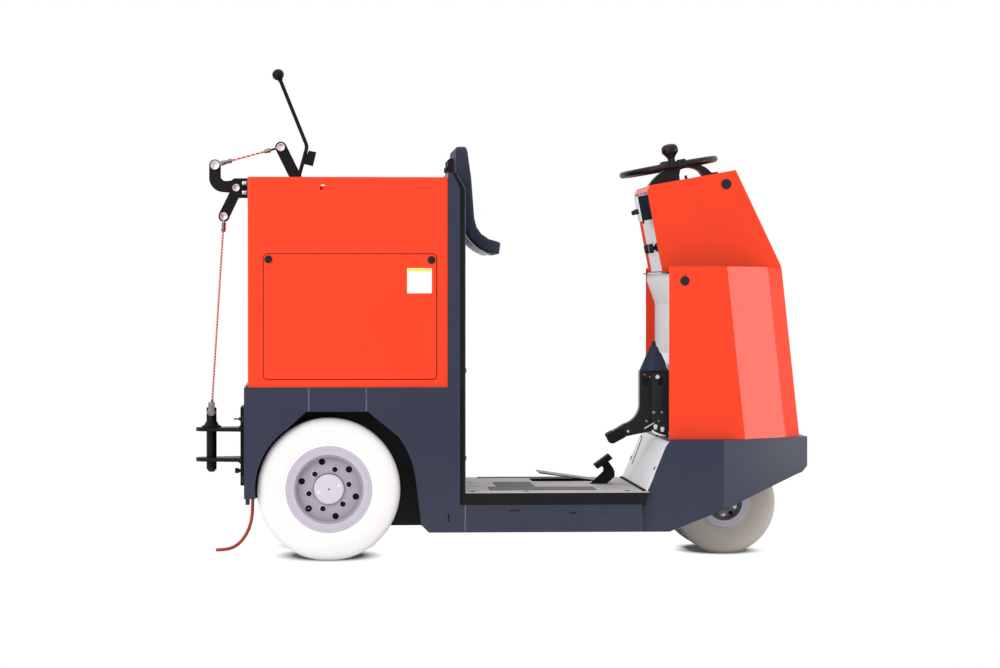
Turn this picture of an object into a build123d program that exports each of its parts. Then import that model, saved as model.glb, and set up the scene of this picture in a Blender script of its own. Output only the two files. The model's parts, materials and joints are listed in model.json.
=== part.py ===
from build123d import *
from math import atan2, cos, degrees, hypot, radians, sin, tan
import os

os.makedirs("parts", exist_ok=True)

# Stand-on electric tow tractor. Millimetres. X forward, Y to the operator's left, Z up, floor at Z = 0.
# X = 0 is halfway between the hitch jaws and the nose of the lower cowl.

# ---- driving dimensions -------------------------------------------------------------------------
half_width = 400.0        # side frames and deck
plate = 6.0               # chassis plate
skin = 3.0                # painted sheet of the body and the console
seat_gap = 0.3            # between pieces that lie against each other

chassis_rear_x = -775.0
rear_overhang = 249.0     # from the axle to the chassis's rear face
rear_tyre_r = 211.0
rear_tyre_w = 105.0
rear_track_inset = 68.0   # from the side frame's outer face to the centre of the tyre
front_axle_x = 672.0
front_tyre_r = 155.0
front_tyre_w = 104.0
front_track_half = 134.0  # centre of each of the twin front tyres

chassis_top = 512.0
chassis_tail_z = 185.0    # underside of the side frame behind the wheel
skirt_bottom = 84.0
arch_top = 441.0
arch_rear_r = 217.0       # clearance arc behind the tyre
arch_front_r = 257.0      # clearance arc ahead of the tyre

post_rear_x = -175.0      # operator's rear wall
post_front_x = -140.0
post_top = 1144.0
board_front_x = -124.0

deck_top = 202.0
deck_depth = 37.0
deck_front_x = 420.0

box_rear_set = 11.0       # how far the box stands in from the chassis's rear face
box_front_x = -176.0
box_inset = 5.0           # and from the side frames' outer faces
box_top = 1131.0
tray_depth = 74.0

cover_ends = (47.0, 34.0)        # from the box's rear and front walls
cover_z = (537.0, 904.0)
cover_t = 3.7

cowl_inset = 25.0         # grey lower cowl, in from the side frames' outer faces
cowl_top = 354.0
cowl_front_x = 929.0
nose_half_w = 150.0
hood_inset = 40.0         # orange cowl above it, in from the lower cowl
hood_top = 869.0
hood_rear_x = 486.0
hood_rake = 55.0          # how far the top of its nose sits behind the bottom
console_half_w = 192.0

wheel_centre = (521.0, 1177.0)   # steering wheel, X and Z
wheel_tilt = 10.2                # degrees, the wheel's plane against level
wheel_rim_r = 143.5
wheel_rim_t = 10.0

rear_axle_x = chassis_rear_x + rear_overhang
rear_track_half = half_width - rear_track_inset
box_rear_x = chassis_rear_x + box_rear_set
box_half_w = half_width - box_inset
cover_x = (box_rear_x + cover_ends[0], box_front_x - cover_ends[1])
cowl_half_w = half_width - cowl_inset
hood_half_w = cowl_half_w - hood_inset
rear_axle_z = rear_tyre_r
front_axle_z = front_tyre_r
axle_point = (rear_axle_x, rear_axle_z)


def polar(centre, radius, angle):
    """Point at an angle in degrees round a centre."""
    return (centre[0] + radius * cos(radians(angle)), centre[1] + radius * sin(radians(angle)))


def side_plane(y, centre=(0, 0)):
    """Plane across the machine at this Y; its sketches read X and Z from the centre, and it faces -Y."""
    return Plane(origin=(centre[0], y, centre[1]), x_dir=(1, 0, 0), z_dir=(0, -1, 0))


def beside(point, dx, dz):
    """Point this far from another one."""
    return (point[0] + dx, point[1] + dz)


sides = (("right", -1), ("left", 1))

# ---- side frames: wheel arch, operator's post and skirt in one plate ---------------------------------
arch_rear_low = (rear_axle_x - (arch_rear_r**2 - (rear_axle_z - chassis_tail_z) ** 2) ** 0.5, chassis_tail_z)
arch_rear_mid = polar(axle_point, arch_rear_r, 155.0)
arch_rear_high = polar(axle_point, arch_rear_r, 124.0)
arch_front_high = polar(axle_point, arch_front_r, 37.5)
arch_front_mid = polar(axle_point, arch_front_r, 23.0)
arch_front_low = polar(axle_point, arch_front_r, 8.7)
skirt_front_x = 398.0
slant_z = 1095.0          # the post's front corner is cut back above this

for side, sign in sides:
    with BuildPart() as side_frame:
        with BuildSketch(side_plane(sign * half_width if sign > 0 else -half_width + plate)):
            with BuildLine():
                ThreePointArc(arch_rear_low, arch_rear_mid, arch_rear_high)
                Polyline(
                    arch_rear_high, (rear_axle_x - 67, arch_top), (rear_axle_x + 114, arch_top), arch_front_high,
                )
                ThreePointArc(arch_front_high, arch_front_mid, arch_front_low)
                Polyline(
                    arch_front_low, (rear_axle_x + 272, skirt_bottom + 22), (rear_axle_x + 294, skirt_bottom),
                    (skirt_front_x, skirt_bottom), (skirt_front_x, deck_top - deck_depth - seat_gap),
                    (post_front_x, deck_top - deck_depth - seat_gap), (post_front_x, slant_z),
                    (post_rear_x + 13, post_top), (post_rear_x, post_top), (post_rear_x, chassis_top),
                    (chassis_rear_x, chassis_top), (chassis_rear_x, chassis_tail_z), arch_rear_low,
                )
            make_face()
        extrude(amount=plate)
    side_frame.part.label = f"side_frame_{side}"
    export_step(side_frame.part, f"parts/side_frame_{side}.step")

# ---- rear plate of the chassis, with the strap clamp under it ---------------------------------------
inner_half = half_width - plate
with BuildPart() as rear_plate:
    with BuildSketch(Plane.YZ.offset(chassis_rear_x)):
        with Locations((0, (chassis_tail_z + chassis_top) / 2)):
            Rectangle(2 * inner_half, chassis_top - chassis_tail_z)
    extrude(amount=plate)
    with Locations((chassis_rear_x + 9, 0, chassis_tail_z - 9), (chassis_rear_x + 9, -300, chassis_tail_z - 7)):
        Box(12, 46, 30)
rear_plate.part.label = "rear_plate"
export_step(rear_plate.part, "parts/rear_plate.step")

# ---- under frame: two inner rails that carry the axle, the battery floor and a cross plate ----------
rail_t = 8.0
rail_gap = 9.5            # between a rail and the tyre beside it
rail_y = rear_track_half - rear_tyre_w / 2 - rail_gap - rail_t
axle_tube_r = 40.0
rail_front_x = -134.0
floor_plate_front = rail_front_x - plate
rail_bottom = 97.0
with BuildPart() as under_frame:
    with BuildSketch(Plane.XY.offset(arch_top)):
        with Locations(((chassis_rear_x + plate + floor_plate_front) / 2, 0)):
            Rectangle(floor_plate_front - chassis_rear_x - plate, 2 * inner_half)
    extrude(amount=plate)
    for rail_start in (rail_y + rail_t, -rail_y):
        with BuildSketch(side_plane(rail_start)):
            with BuildLine():
                Polyline(
                    (chassis_rear_x + plate, arch_top), (chassis_rear_x + plate, chassis_tail_z + 10),
                    (rear_axle_x - 120, 130), (rear_axle_x + 120, 130), (rear_axle_x + 180, rail_bottom),
                    (floor_plate_front, rail_bottom), (floor_plate_front, arch_top), close=True,
                )
            make_face()
            with Locations(axle_point):
                Circle(axle_tube_r + seat_gap, mode=Mode.SUBTRACT)
        extrude(amount=rail_t)
    with BuildSketch(Plane.YZ.offset(floor_plate_front)):
        with Locations((0, (rail_bottom + chassis_top) / 2)):
            Rectangle(2 * inner_half, chassis_top - rail_bottom)
    extrude(amount=plate)
under_frame.part.label = "under_frame"
export_step(under_frame.part, "parts/under_frame.step")

# ---- battery block on its floor ---------------------------------------------------------------------
battery_end_gap = 34.0
battery_side_gap = 30.0
battery_height = 540.0
with BuildPart() as battery:
    with BuildSketch(Plane.XY.offset(arch_top + plate + seat_gap)):
        with Locations(((box_rear_x + box_front_x) / 2, 0)):
            Rectangle(box_front_x - box_rear_x - 2 * battery_end_gap, 2 * (box_half_w - battery_side_gap))
    extrude(amount=battery_height)
battery.part.label = "battery_block"
export_step(battery.part, "parts/battery_block.step")

# ---- battery box: folded sheet with a service opening in each side, and the storage tray in its top --
box_corner_r = 16.0
flange = 22.0
box_bottom = chassis_top + seat_gap
opening_margin = 14.0
with BuildPart() as battery_box:
    with BuildSketch(Plane.XY.offset(box_bottom)) as box_plan:
        with Locations(((box_rear_x + box_front_x) / 2, 0)):
            Rectangle(box_front_x - box_rear_x, 2 * box_half_w)
        fillet(box_plan.vertices().group_by(Axis.X)[0], box_corner_r)
    extrude(amount=box_top - box_bottom)
    with BuildSketch(Plane.XY.offset(box_bottom + skin)):
        with Locations(((box_rear_x + box_front_x) / 2, 0)):
            RectangleRounded(box_front_x - box_rear_x - 2 * skin, 2 * (box_half_w - skin), box_corner_r - skin)
    extrude(amount=box_top, mode=Mode.SUBTRACT)
    with BuildSketch(Plane.XY.offset(box_bottom)):
        with Locations(((box_rear_x + box_front_x) / 2, 0)):
            Rectangle(box_front_x - box_rear_x - 2 * flange, 2 * (box_half_w - flange))
    extrude(amount=skin, mode=Mode.SUBTRACT)
    with BuildSketch(Plane.XZ):
        with Locations(((cover_x[0] + cover_x[1]) / 2, (cover_z[0] + cover_z[1]) / 2)):
            RectangleRounded(
                cover_x[1] - cover_x[0] - 2 * opening_margin, cover_z[1] - cover_z[0] - 2 * opening_margin, 12,
            )
        with Locations((box_rear_x + 221, box_top - 31)):
            Circle(9)
    extrude(amount=box_half_w + 5, both=True, mode=Mode.SUBTRACT)
battery_box.part.label = "battery_box"
export_step(battery_box.part, "parts/battery_box.step")

tray_z = box_top - tray_depth
tray_fit = skin + seat_gap
with BuildPart() as tray_pan:
    with BuildSketch(Plane.XY.offset(tray_z - skin)):
        with Locations(((box_rear_x + box_front_x) / 2, 0)):
            RectangleRounded(
                box_front_x - box_rear_x - 2 * tray_fit, 2 * (box_half_w - tray_fit), box_corner_r - tray_fit,
            )
    extrude(amount=skin)
tray_pan.part.label = "tray_pan"
export_step(tray_pan.part, "parts/tray_pan.step")

# ---- side covers, hung on their lower edge ----------------------------------------------------------
for side, sign in sides:
    cover_face = sign * (box_half_w + seat_gap + cover_t) if sign > 0 else -(box_half_w + seat_gap)
    with BuildPart() as cover:
        with BuildSketch(side_plane(cover_face)):
            with Locations(((cover_x[0] + cover_x[1]) / 2, (cover_z[0] + cover_z[1]) / 2)):
                RectangleRounded(cover_x[1] - cover_x[0], cover_z[1] - cover_z[0], 10)
        extrude(amount=cover_t)
        fillet(cover.edges().filter_by(Axis.X).group_by(Axis.Z)[0], cover_t / 2 - 0.01)
    cover.part.label = f"side_cover_{side}"
    export_step(cover.part, f"parts/side_cover_{side}.step")

# ---- operator's rear wall: a folded pan and a black edge board in front of it -----------------------
wall_bottom = chassis_top + seat_gap
with BuildPart() as back_panel:
    with BuildSketch(side_plane(inner_half - seat_gap)):
        with BuildLine():
            Polyline(
                (post_rear_x, wall_bottom), (post_rear_x, post_top), (post_rear_x + 13, post_top),
                (post_front_x, slant_z), (post_front_x, wall_bottom), close=True,
            )
        make_face()
    extrude(amount=2 * (inner_half - seat_gap))
    with Locations(((post_rear_x + post_front_x - plate) / 2, 0, (wall_bottom + slant_z) / 2)):
        Box(
            post_front_x - post_rear_x - plate, 2 * inner_half - 40, slant_z - wall_bottom - 40,
            mode=Mode.SUBTRACT,
        )
back_panel.part.label = "back_panel"
export_step(back_panel.part, "parts/back_panel.step")

board_back_x = post_front_x + seat_gap
with BuildPart() as back_board:
    with BuildSketch(side_plane(half_width)):
        with BuildLine():
            Polyline(
                (-161.6, post_top), (-151, post_top), (board_front_x, slant_z - 1),
                (board_front_x, deck_top - deck_depth), (board_back_x + 6, deck_top - deck_depth),
                (board_back_x + 6, chassis_top), (board_back_x, chassis_top), (board_back_x, slant_z),
                close=True,
            )
        make_face()
    extrude(amount=2 * half_width)
back_board.part.label = "back_board"
export_step(back_board.part, "parts/back_board.step")

# ---- lean pad with its forward lip, back plate and clamps -------------------------------------------
pad_half_w = 210.0
pad_back_x = board_front_x + 3.8
with BuildPart() as lean_pad:
    with BuildSketch(side_plane(pad_half_w)) as pad_side:
        with BuildLine():
            Polyline((-141, 1233), (-110, 1233), (-98, 1135), (-89, 1016))
            ThreePointArc((-89, 1016), (-63, 969), (-7, 942))
            Line((-7, 942), (-12, 906))
            ThreePointArc((-12, 906), (-84, 934), (pad_back_x, 990))
            Polyline((pad_back_x, 990), (pad_back_x, 1096), (-145, 1150), (-145, 1200), (-141, 1233))
        make_face()
    extrude(amount=2 * pad_half_w)
    fillet(lean_pad.edges().filter_by(Axis.Y).group_by(Axis.Z)[-1], 5)
lean_pad.part.label = "lean_pad"
export_step(lean_pad.part, "parts/lean_pad.step")

plate_x = board_front_x + seat_gap
clamp_y = 60.0
with BuildPart() as pad_plate:
    with BuildSketch(side_plane(pad_half_w - 30)):
        with BuildLine():
            Polyline((pad_back_x - 0.4, 1080), (plate_x, 1080), (plate_x, 983))
            ThreePointArc((plate_x, 983), (-86, 931), (-40, 906))
            Line((-40, 906), (-40, 908.6))
            ThreePointArc((-40, 908.6), (-84, 933), (pad_back_x - 0.4, 988))
            Line((pad_back_x - 0.4, 988), (pad_back_x - 0.4, 1080))
        make_face()
    extrude(amount=2 * (pad_half_w - 30))
pad_plate.part.label = "pad_plate"
export_step(pad_plate.part, "parts/pad_plate.step")

with BuildPart() as pad_clamps:
    for y in (-clamp_y, clamp_y):
        with BuildSketch(side_plane(y + 20)):
            with BuildLine():
                Polyline(
                    (-163, post_top + seat_gap), (-163, 1192), (-157, 1199), (-145.3, 1199),
                    (-145.3, post_top + 7), (-149, post_top + seat_gap), close=True,
                )
            make_face()
        extrude(amount=40)
        with Locations(Location((-165, y, 1168), (0, 90, 0))):
            Cylinder(8, 5)
pad_clamps.part.label = "pad_clamps"
export_step(pad_clamps.part, "parts/pad_clamps.step")

# ---- deck: a ribbed pan, its top plate with slots, and tread pads -----------------------------------
deck_rear_x = board_front_x + seat_gap
pan_top = deck_top - 2
pan_bottom = deck_top - deck_depth
slant_run = 13.0          # how much shorter the pan is at its bottom
pedal_y = 26.0
pedal_slot = (268.0, 392.0, 18.0)       # X from, X to, width
hatch_x = (112.0, 306.0)
hatch_edge = 70.0         # from the deck's left edge
hatch_w = 165.0
hatch_y = (half_width - hatch_edge - hatch_w, half_width - hatch_edge)
lug_x = 296.0
lug_z = 180.0
pocket_y = (2 - half_width / 2, half_width / 2 - 2)
with BuildPart() as deck_frame:
    with BuildSketch(side_plane(half_width)):
        with BuildLine():
            Polyline(
                (deck_rear_x, pan_bottom), (deck_rear_x, pan_top), (deck_front_x, pan_top),
                (deck_front_x - slant_run, pan_bottom), close=True,
            )
        make_face()
    extrude(amount=2 * half_width)
    with BuildSketch(Plane.XY.offset(pan_bottom)):
        with Locations(*[(deck_rear_x + 70 + 128 * i, y) for i in range(4) for y in pocket_y]):
            Rectangle(116, half_width - 20)
    extrude(amount=deck_depth - 7, mode=Mode.SUBTRACT)
    with BuildSketch(Plane.XY.offset(pan_bottom)):
        with Locations(((pedal_slot[0] + pedal_slot[1]) / 2, pedal_y)):
            Rectangle(pedal_slot[1] - pedal_slot[0], pedal_slot[2] + 4)
        with Locations(((hatch_x[0] + hatch_x[1]) / 2, (hatch_y[0] + hatch_y[1]) / 2)):
            Rectangle(hatch_x[1] - hatch_x[0], hatch_y[1] - hatch_y[0])
    extrude(amount=deck_depth, mode=Mode.SUBTRACT)
    with BuildSketch(side_plane(pedal_y + 18)):
        with Locations((lug_x, lug_z)):
            Circle(5)
    extrude(amount=36)
deck_frame.part.label = "deck_frame"
export_step(deck_frame.part, "parts/deck_frame.step")

with BuildPart() as deck_plate:
    with BuildSketch(Plane.XY.offset(pan_top)):
        with Locations(((deck_rear_x + deck_front_x) / 2, 0)):
            Rectangle(deck_front_x - deck_rear_x, 2 * half_width)
        with Locations(((pedal_slot[0] + pedal_slot[1]) / 2, pedal_y)):
            RectangleRounded(pedal_slot[1] - pedal_slot[0], pedal_slot[2], 4, mode=Mode.SUBTRACT)
        with Locations(((hatch_x[0] + hatch_x[1]) / 2, (hatch_y[0] + hatch_y[1]) / 2)):
            Rectangle(hatch_x[1] - hatch_x[0], hatch_y[1] - hatch_y[0], mode=Mode.SUBTRACT)
        with Locations((366, -48)):
            Rectangle(52, 6, mode=Mode.SUBTRACT)
    extrude(amount=2)
deck_plate.part.label = "deck_plate"
export_step(deck_plate.part, "parts/deck_plate.step")

# rows: X from, X to, Y from, Y to
tread_rows = ((-44, 272, -300, -150), (-14, 100, -146, 105), (-49, 271, half_width - 55, half_width - 10))
with BuildPart() as tread_pads:
    with BuildSketch(Plane.XY.offset(deck_top)):
        for x0, x1, y0, y1 in tread_rows:
            with Locations(((x0 + x1) / 2, (y0 + y1) / 2)):
                RectangleRounded(x1 - x0, y1 - y0, 8)
    extrude(amount=2)
tread_pads.part.label = "tread_pads"
export_step(tread_pads.part, "parts/tread_pads.step")

# ---- presence pedal: a plate that stands open over its well -----------------------------------------
with BuildPart() as presence_pedal:
    with BuildSketch(side_plane(hatch_y[1] - 4)):
        with BuildLine():
            Polyline(
                (320, deck_top + seat_gap), (320, deck_top + 3.5), (300, deck_top + 4), (135, 229.5),
                (135, 226), (306, deck_top + seat_gap), close=True,
            )
        make_face()
    extrude(amount=hatch_y[1] - hatch_y[0] - 8)
presence_pedal.part.label = "presence_pedal"
export_step(presence_pedal.part, "parts/presence_pedal.step")

# ---- floor pedal on its pivot under the deck --------------------------------------------------------
with BuildPart() as floor_pedal:
    with BuildSketch(side_plane(pedal_y + 6)):
        with BuildLine():
            Polyline(
                (284, 172), (280, 201), (322, 240), (323, 250), (316, 258), (335, 275), (352, 251), (357, 240),
                (357, 224), (334, 203), (310, 172), close=True,
            )
        make_face()
        with Locations((lug_x, lug_z)):
            Circle(13)
            Circle(5.05, mode=Mode.SUBTRACT)
    extrude(amount=12)
    with BuildSketch(side_plane(pedal_y + 32)):
        with BuildLine():
            Polyline((293, 261), (338, 294), (349, 281), (303, 249), close=True)
        make_face()
    extrude(amount=64)
floor_pedal.part.label = "floor_pedal"
export_step(floor_pedal.part, "parts/floor_pedal.step")

# ---- lower cowl: folded shell over the steering gear ------------------------------------------------
cowl_bend_x = 645.0       # where the sides turn in towards the nose
cowl_t = 5.0
cowl_plan = (
    (300, -cowl_half_w), (cowl_bend_x, -cowl_half_w), (cowl_front_x, -nose_half_w),
    (cowl_front_x, nose_half_w), (cowl_bend_x, cowl_half_w), (300, cowl_half_w),
)
with BuildPart() as lower_cowl:
    with BuildSketch(Plane.XY.offset(skirt_bottom - 2)):
        with BuildLine():
            Polyline(*cowl_plan, close=True)
        make_face()
    extrude(amount=cowl_top - skirt_bottom + 2)
    with BuildSketch(Plane.XY.offset(skirt_bottom - 2)):
        with BuildLine():
            Polyline(*cowl_plan, close=True)
        make_face()
        offset(amount=-cowl_t, kind=Kind.INTERSECTION)
    extrude(amount=cowl_top - skirt_bottom + 2 - cowl_t, mode=Mode.SUBTRACT)
    with BuildSketch(Plane.XZ):
        with BuildLine():
            Polyline(
                (484, skirt_bottom - 2), (499, 89), (890, 240), (912, 247), (cowl_front_x + 1, 266),
                (cowl_front_x + 1, 60), (484, 60), close=True,
            )
        make_face()
        with BuildLine():
            Polyline(
                (290, 60), (401, 60), (401, 144), (440, 255), (472, 334), (488, 355), (488, 360), (290, 360),
                close=True,
            )
        make_face()
    extrude(amount=half_width, both=True, mode=Mode.SUBTRACT)
    with BuildSketch(Plane.XY.offset(cowl_top - cowl_t)):
        with Locations((front_axle_x, 0)):
            Circle(45)
    extrude(amount=cowl_t, mode=Mode.SUBTRACT)
lower_cowl.part.label = "lower_cowl"
export_step(lower_cowl.part, "parts/lower_cowl.step")

# ---- front frame: the beam that holds the turntable, and the bulkhead behind the wheel bay ----------
beam_bottom = 331.0
beam_top = cowl_top - cowl_t - seat_gap
spindle_r = 30.0
bulkhead_x = 404.0
inner_cowl = cowl_half_w - cowl_t - seat_gap
with BuildPart() as front_frame:
    with BuildSketch(Plane.XY.offset(beam_bottom)):
        with Locations((588, 0)):
            Rectangle(146, 2 * inner_cowl - 60)
        with Locations((front_axle_x, 0)):
            Circle(110)
            Circle(spindle_r + 0.06, mode=Mode.SUBTRACT)
    extrude(amount=beam_top - beam_bottom)
front_frame.part.label = "front_frame"
export_step(front_frame.part, "parts/front_frame.step")

with BuildPart() as bulkhead:
    with BuildSketch(Plane.YZ.offset(bulkhead_x)):
        with Locations((0, (skirt_bottom + pan_bottom - seat_gap) / 2)):
            Rectangle(2 * inner_cowl, pan_bottom - seat_gap - skirt_bottom)
    extrude(amount=plate)
bulkhead.part.label = "bulkhead"
export_step(bulkhead.part, "parts/bulkhead.step")

# ---- toe board between the deck and the cowl --------------------------------------------------------
with BuildPart() as toe_board:
    with BuildSketch(side_plane(cowl_half_w - cowl_t - seat_gap)):
        with BuildLine():
            Polyline(
                (418, deck_top + seat_gap), (480, 338), (487, 346), (487, cowl_top - cowl_t - seat_gap),
                (476, 342), (413, deck_top + seat_gap), close=True,
            )
        make_face()
    extrude(amount=2 * (cowl_half_w - cowl_t - seat_gap))
toe_board.part.label = "toe_board"
export_step(toe_board.part, "parts/toe_board.step")

# ---- orange front cowl: faceted nose raked back towards the top -------------------------------------
hood_bottom = cowl_top + seat_gap
hood_rows = ((714, hood_half_w), (854, 205), (906, 140))     # X at the bottom, half width: the facets' corners


def hood_outline(rear_x, z):
    """Plan of the cowl at this height; the nose moves back with height."""
    back = hood_rake * (z - hood_bottom) / (hood_top - hood_bottom)
    right = [(x - back, -w) for x, w in hood_rows]
    left = [(x - back, w) for x, w in reversed(hood_rows)]
    return [(rear_x, -hood_half_w)] + right + left + [(rear_x, hood_half_w)]


with BuildPart() as front_cowl:
    for z in (hood_bottom, hood_top):
        with BuildSketch(Plane.XY.offset(z)):
            with BuildLine():
                Polyline(*hood_outline(hood_rear_x, z), close=True)
            make_face()
    loft(ruled=True)
    for z in (hood_bottom, hood_top):
        with BuildSketch(Plane.XY.offset(z)):
            with BuildLine():
                Polyline(*hood_outline(hood_rear_x - 20, z), close=True)
            make_face()
            offset(amount=-skin, kind=Kind.INTERSECTION)
    loft(ruled=True, mode=Mode.SUBTRACT)
front_cowl.part.label = "front_cowl"
export_step(front_cowl.part, "parts/front_cowl.step")

# light panel that closes the cowl behind the operator's feet
shelf_z = 849.0
panel_rows = ((514, hood_bottom), (514, 755), (489, 828), (489, shelf_z - seat_gap))
with BuildPart() as cowl_panel:
    with BuildSketch(side_plane(hood_half_w - skin - seat_gap)):
        with BuildLine():
            Polyline(*panel_rows, *[(x + skin, z) for x, z in reversed(panel_rows)], close=True)
        make_face()
    extrude(amount=2 * (hood_half_w - skin - seat_gap))
cowl_panel.part.label = "cowl_panel"
export_step(cowl_panel.part, "parts/cowl_panel.step")

with BuildPart() as shelf:
    with BuildSketch(Plane.XY.offset(shelf_z)):
        with BuildLine():
            Polyline(*hood_outline(hood_rear_x - 12, shelf_z), close=True)
        make_face()
        offset(amount=-skin - 1, kind=Kind.INTERSECTION)
    extrude(amount=4)
shelf.part.label = "console_shelf"
export_step(shelf.part, "parts/console_shelf.step")

# ---- console: folded shell that leans back over the shelf -------------------------------------------
console_bottom = shelf_z + 4 + seat_gap
rear_top = (435.0, 1099.0)
rear_bottom = (481.0, console_bottom)
top_slope = tan(radians(wheel_tilt))
top_rear = (444.0, 1115.0)
top_front = (706.0, top_rear[1] + (706.0 - 444.0) * top_slope)
console_front = (842.0, 877.0)
console_step_x = 798.0    # ahead of this the console's floor clears the cowl's facets
front_bend_r = 14.0
with BuildPart() as console:
    with BuildSketch(side_plane(console_half_w)):
        with BuildLine():
            Polyline(
                rear_top, top_rear, top_front, console_front, (console_front[0], hood_top + 3),
                (console_step_x, hood_top + 3), (console_step_x, console_bottom), rear_bottom, close=True,
            )
        make_face()
    extrude(amount=2 * console_half_w)
    nose_edges = console.edges().filter_by(
        lambda e: abs(abs(e.center().Y) - console_half_w) < 1 and top_front[0] < e.center().X < console_front[0]
        and e.center().Z > console_front[1]
    )
    fillet(nose_edges, front_bend_r)
    rear_faces = console.faces().filter_by(
        lambda f: f.center().X < rear_bottom[0] and abs(f.center().Y) < 1 and f.center().Z < rear_top[1]
    )
    bottom_faces = console.faces().group_by(Axis.Z)[0]
    offset(amount=-skin, openings=rear_faces + bottom_faces)
console.part.label = "console"
export_step(console.part, "parts/console.step")

lean = atan2(rear_bottom[0] - rear_top[0], rear_top[1] - rear_bottom[1])     # the rear face hangs over by this
face_depth = 8.0
face_plane = Plane(
    origin=((rear_top[0] + rear_bottom[0]) / 2 + face_depth, 0, (rear_top[1] + rear_bottom[1]) / 2),
    x_dir=(0, -1, 0), z_dir=(-cos(lean), 0, -sin(lean)),
)
face_height = hypot(rear_bottom[0] - rear_top[0], rear_top[1] - rear_bottom[1]) - 6
with BuildPart() as console_face:
    with BuildSketch(face_plane):
        Rectangle(2 * (console_half_w - skin - seat_gap), face_height)
    extrude(amount=-skin)
console_face.part.label = "console_face"
export_step(console_face.part, "parts/console_face.step")

with BuildPart() as control_box:
    with BuildSketch(face_plane.offset(seat_gap)):
        with Locations((98, 78)):
            RectangleRounded(100, 75, 4)
    extrude(amount=22)
    with BuildSketch(face_plane.offset(22)):
        with Locations((74, 48)):
            RectangleRounded(12, 16, 5)
    extrude(amount=24)
control_box.part.label = "control_box"
export_step(control_box.part, "parts/control_box.step")

# mushroom buttons: neck, collar and head
with BuildPart() as buttons:
    with BuildSketch(face_plane.offset(seat_gap)):
        with Locations((-10, -47), (110, -47)):
            Circle(16)
    extrude(amount=8)
    with BuildSketch(face_plane.offset(seat_gap)):
        with Locations((-10, -47), (110, -47)):
            Circle(9)
    extrude(amount=18)
    with BuildSketch(face_plane.offset(18)):
        with Locations((-10, -47), (110, -47)):
            Circle(17)
    extrude(amount=8)
buttons.part.label = "push_buttons"
export_step(buttons.part, "parts/push_buttons.step")

# ---- steering column, wheel with spinner knob, and the grab arch over the column --------------------
tilt = radians(wheel_tilt)
wheel_plane = Plane(
    origin=(wheel_centre[0], 0, wheel_centre[1]), x_dir=(cos(tilt), 0, sin(tilt)), z_dir=(-sin(tilt), 0, cos(tilt)),
)
console_top_drop = (wheel_centre[1] - top_rear[1] - (wheel_centre[0] - top_rear[0]) * top_slope) * cos(tilt)
column_r = 28.5
shaft_r = 10.0
with BuildPart() as steering_column:
    with BuildSketch(wheel_plane.offset(-console_top_drop + seat_gap)):
        Circle(column_r)
    extrude(amount=console_top_drop - 21)
    with BuildSketch(wheel_plane.offset(-24)):
        Circle(shaft_r)
    extrude(amount=30)
steering_column.part.label = "steering_column"
export_step(steering_column.part, "parts/steering_column.step")

knob_r = 25.0
with BuildPart() as steering_wheel:
    with BuildSketch(wheel_plane.offset(-20)):
        Circle(column_r)
        Circle(shaft_r + 0.06, mode=Mode.SUBTRACT)
    extrude(amount=28)
    with BuildSketch(wheel_plane.offset(7)):
        Circle(column_r)
    extrude(amount=7)
    with BuildSketch(wheel_plane.offset(3)):
        with PolarLocations(wheel_rim_r / 2 + 12, 3, start_angle=30):
            Rectangle(wheel_rim_r - 24, 30)
    extrude(amount=6)
    with BuildSketch(Plane(origin=wheel_plane.origin, x_dir=wheel_plane.x_dir, z_dir=(0, -1, 0))):
        with Locations((wheel_rim_r, 0)):
            Circle(wheel_rim_t)
    revolve(axis=Axis(wheel_plane.origin, wheel_plane.z_dir))
    knob_foot = wheel_plane.from_local_coords((-4, -wheel_rim_r, 0))
    knob_plane = Plane(origin=knob_foot, x_dir=wheel_plane.x_dir, z_dir=wheel_plane.z_dir)
    with BuildSketch(Plane(origin=knob_foot, x_dir=wheel_plane.x_dir, z_dir=(0, -1, 0))):
        with BuildLine():
            Polyline(
                (0, 0), (11, 0), (11, 22), (17, 31), (knob_r, 40), (knob_r, 50), (18, 58), (0, 61), close=True,
            )
        make_face()
    revolve(axis=Axis(knob_plane.origin, knob_plane.z_dir))
steering_wheel.part.label = "steering_wheel"
export_step(steering_wheel.part, "parts/steering_wheel.step")

arch_y = (-100.0, -46.0)
arch_feet = (450.0, 655.0)
arch_crown = (584.0, 1183.0)
arch_t = 12.0


def console_top_z(x):
    """Height of the console's sloping top, with the seat's gap."""
    return top_rear[1] + (x - top_rear[0]) * top_slope + seat_gap


arch_heel = beside(arch_crown, 56, -25)
grip_ends = (beside(arch_crown, 20, -arch_t - 8), beside(arch_crown, -38, -arch_t - 6))
arch_instep = arch_crown[0] + 33
arch_inner = arch_crown[0] - 44
with BuildPart() as grab_arch:
    with BuildSketch(side_plane(arch_y[1])):
        with BuildLine():
            ThreePointArc((arch_feet[0], console_top_z(arch_feet[0])), beside(arch_crown, -84, -18), arch_crown)
            ThreePointArc(arch_crown, beside(arch_crown, 38, -9), arch_heel)
            Polyline(
                arch_heel, (arch_feet[1], console_top_z(arch_feet[1]) + 4),
                (arch_feet[1], console_top_z(arch_feet[1])), (arch_instep, console_top_z(arch_instep)),
                grip_ends[0],
            )
            ThreePointArc(grip_ends[0], beside(arch_crown, 1, -arch_t), grip_ends[1])
            Polyline(
                grip_ends[1], (arch_inner, console_top_z(arch_inner)),
                (arch_feet[0], console_top_z(arch_feet[0])),
            )
        make_face()
    extrude(amount=arch_y[1] - arch_y[0])
grab_arch.part.label = "grab_arch"
export_step(grab_arch.part, "parts/grab_arch.step")

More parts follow.
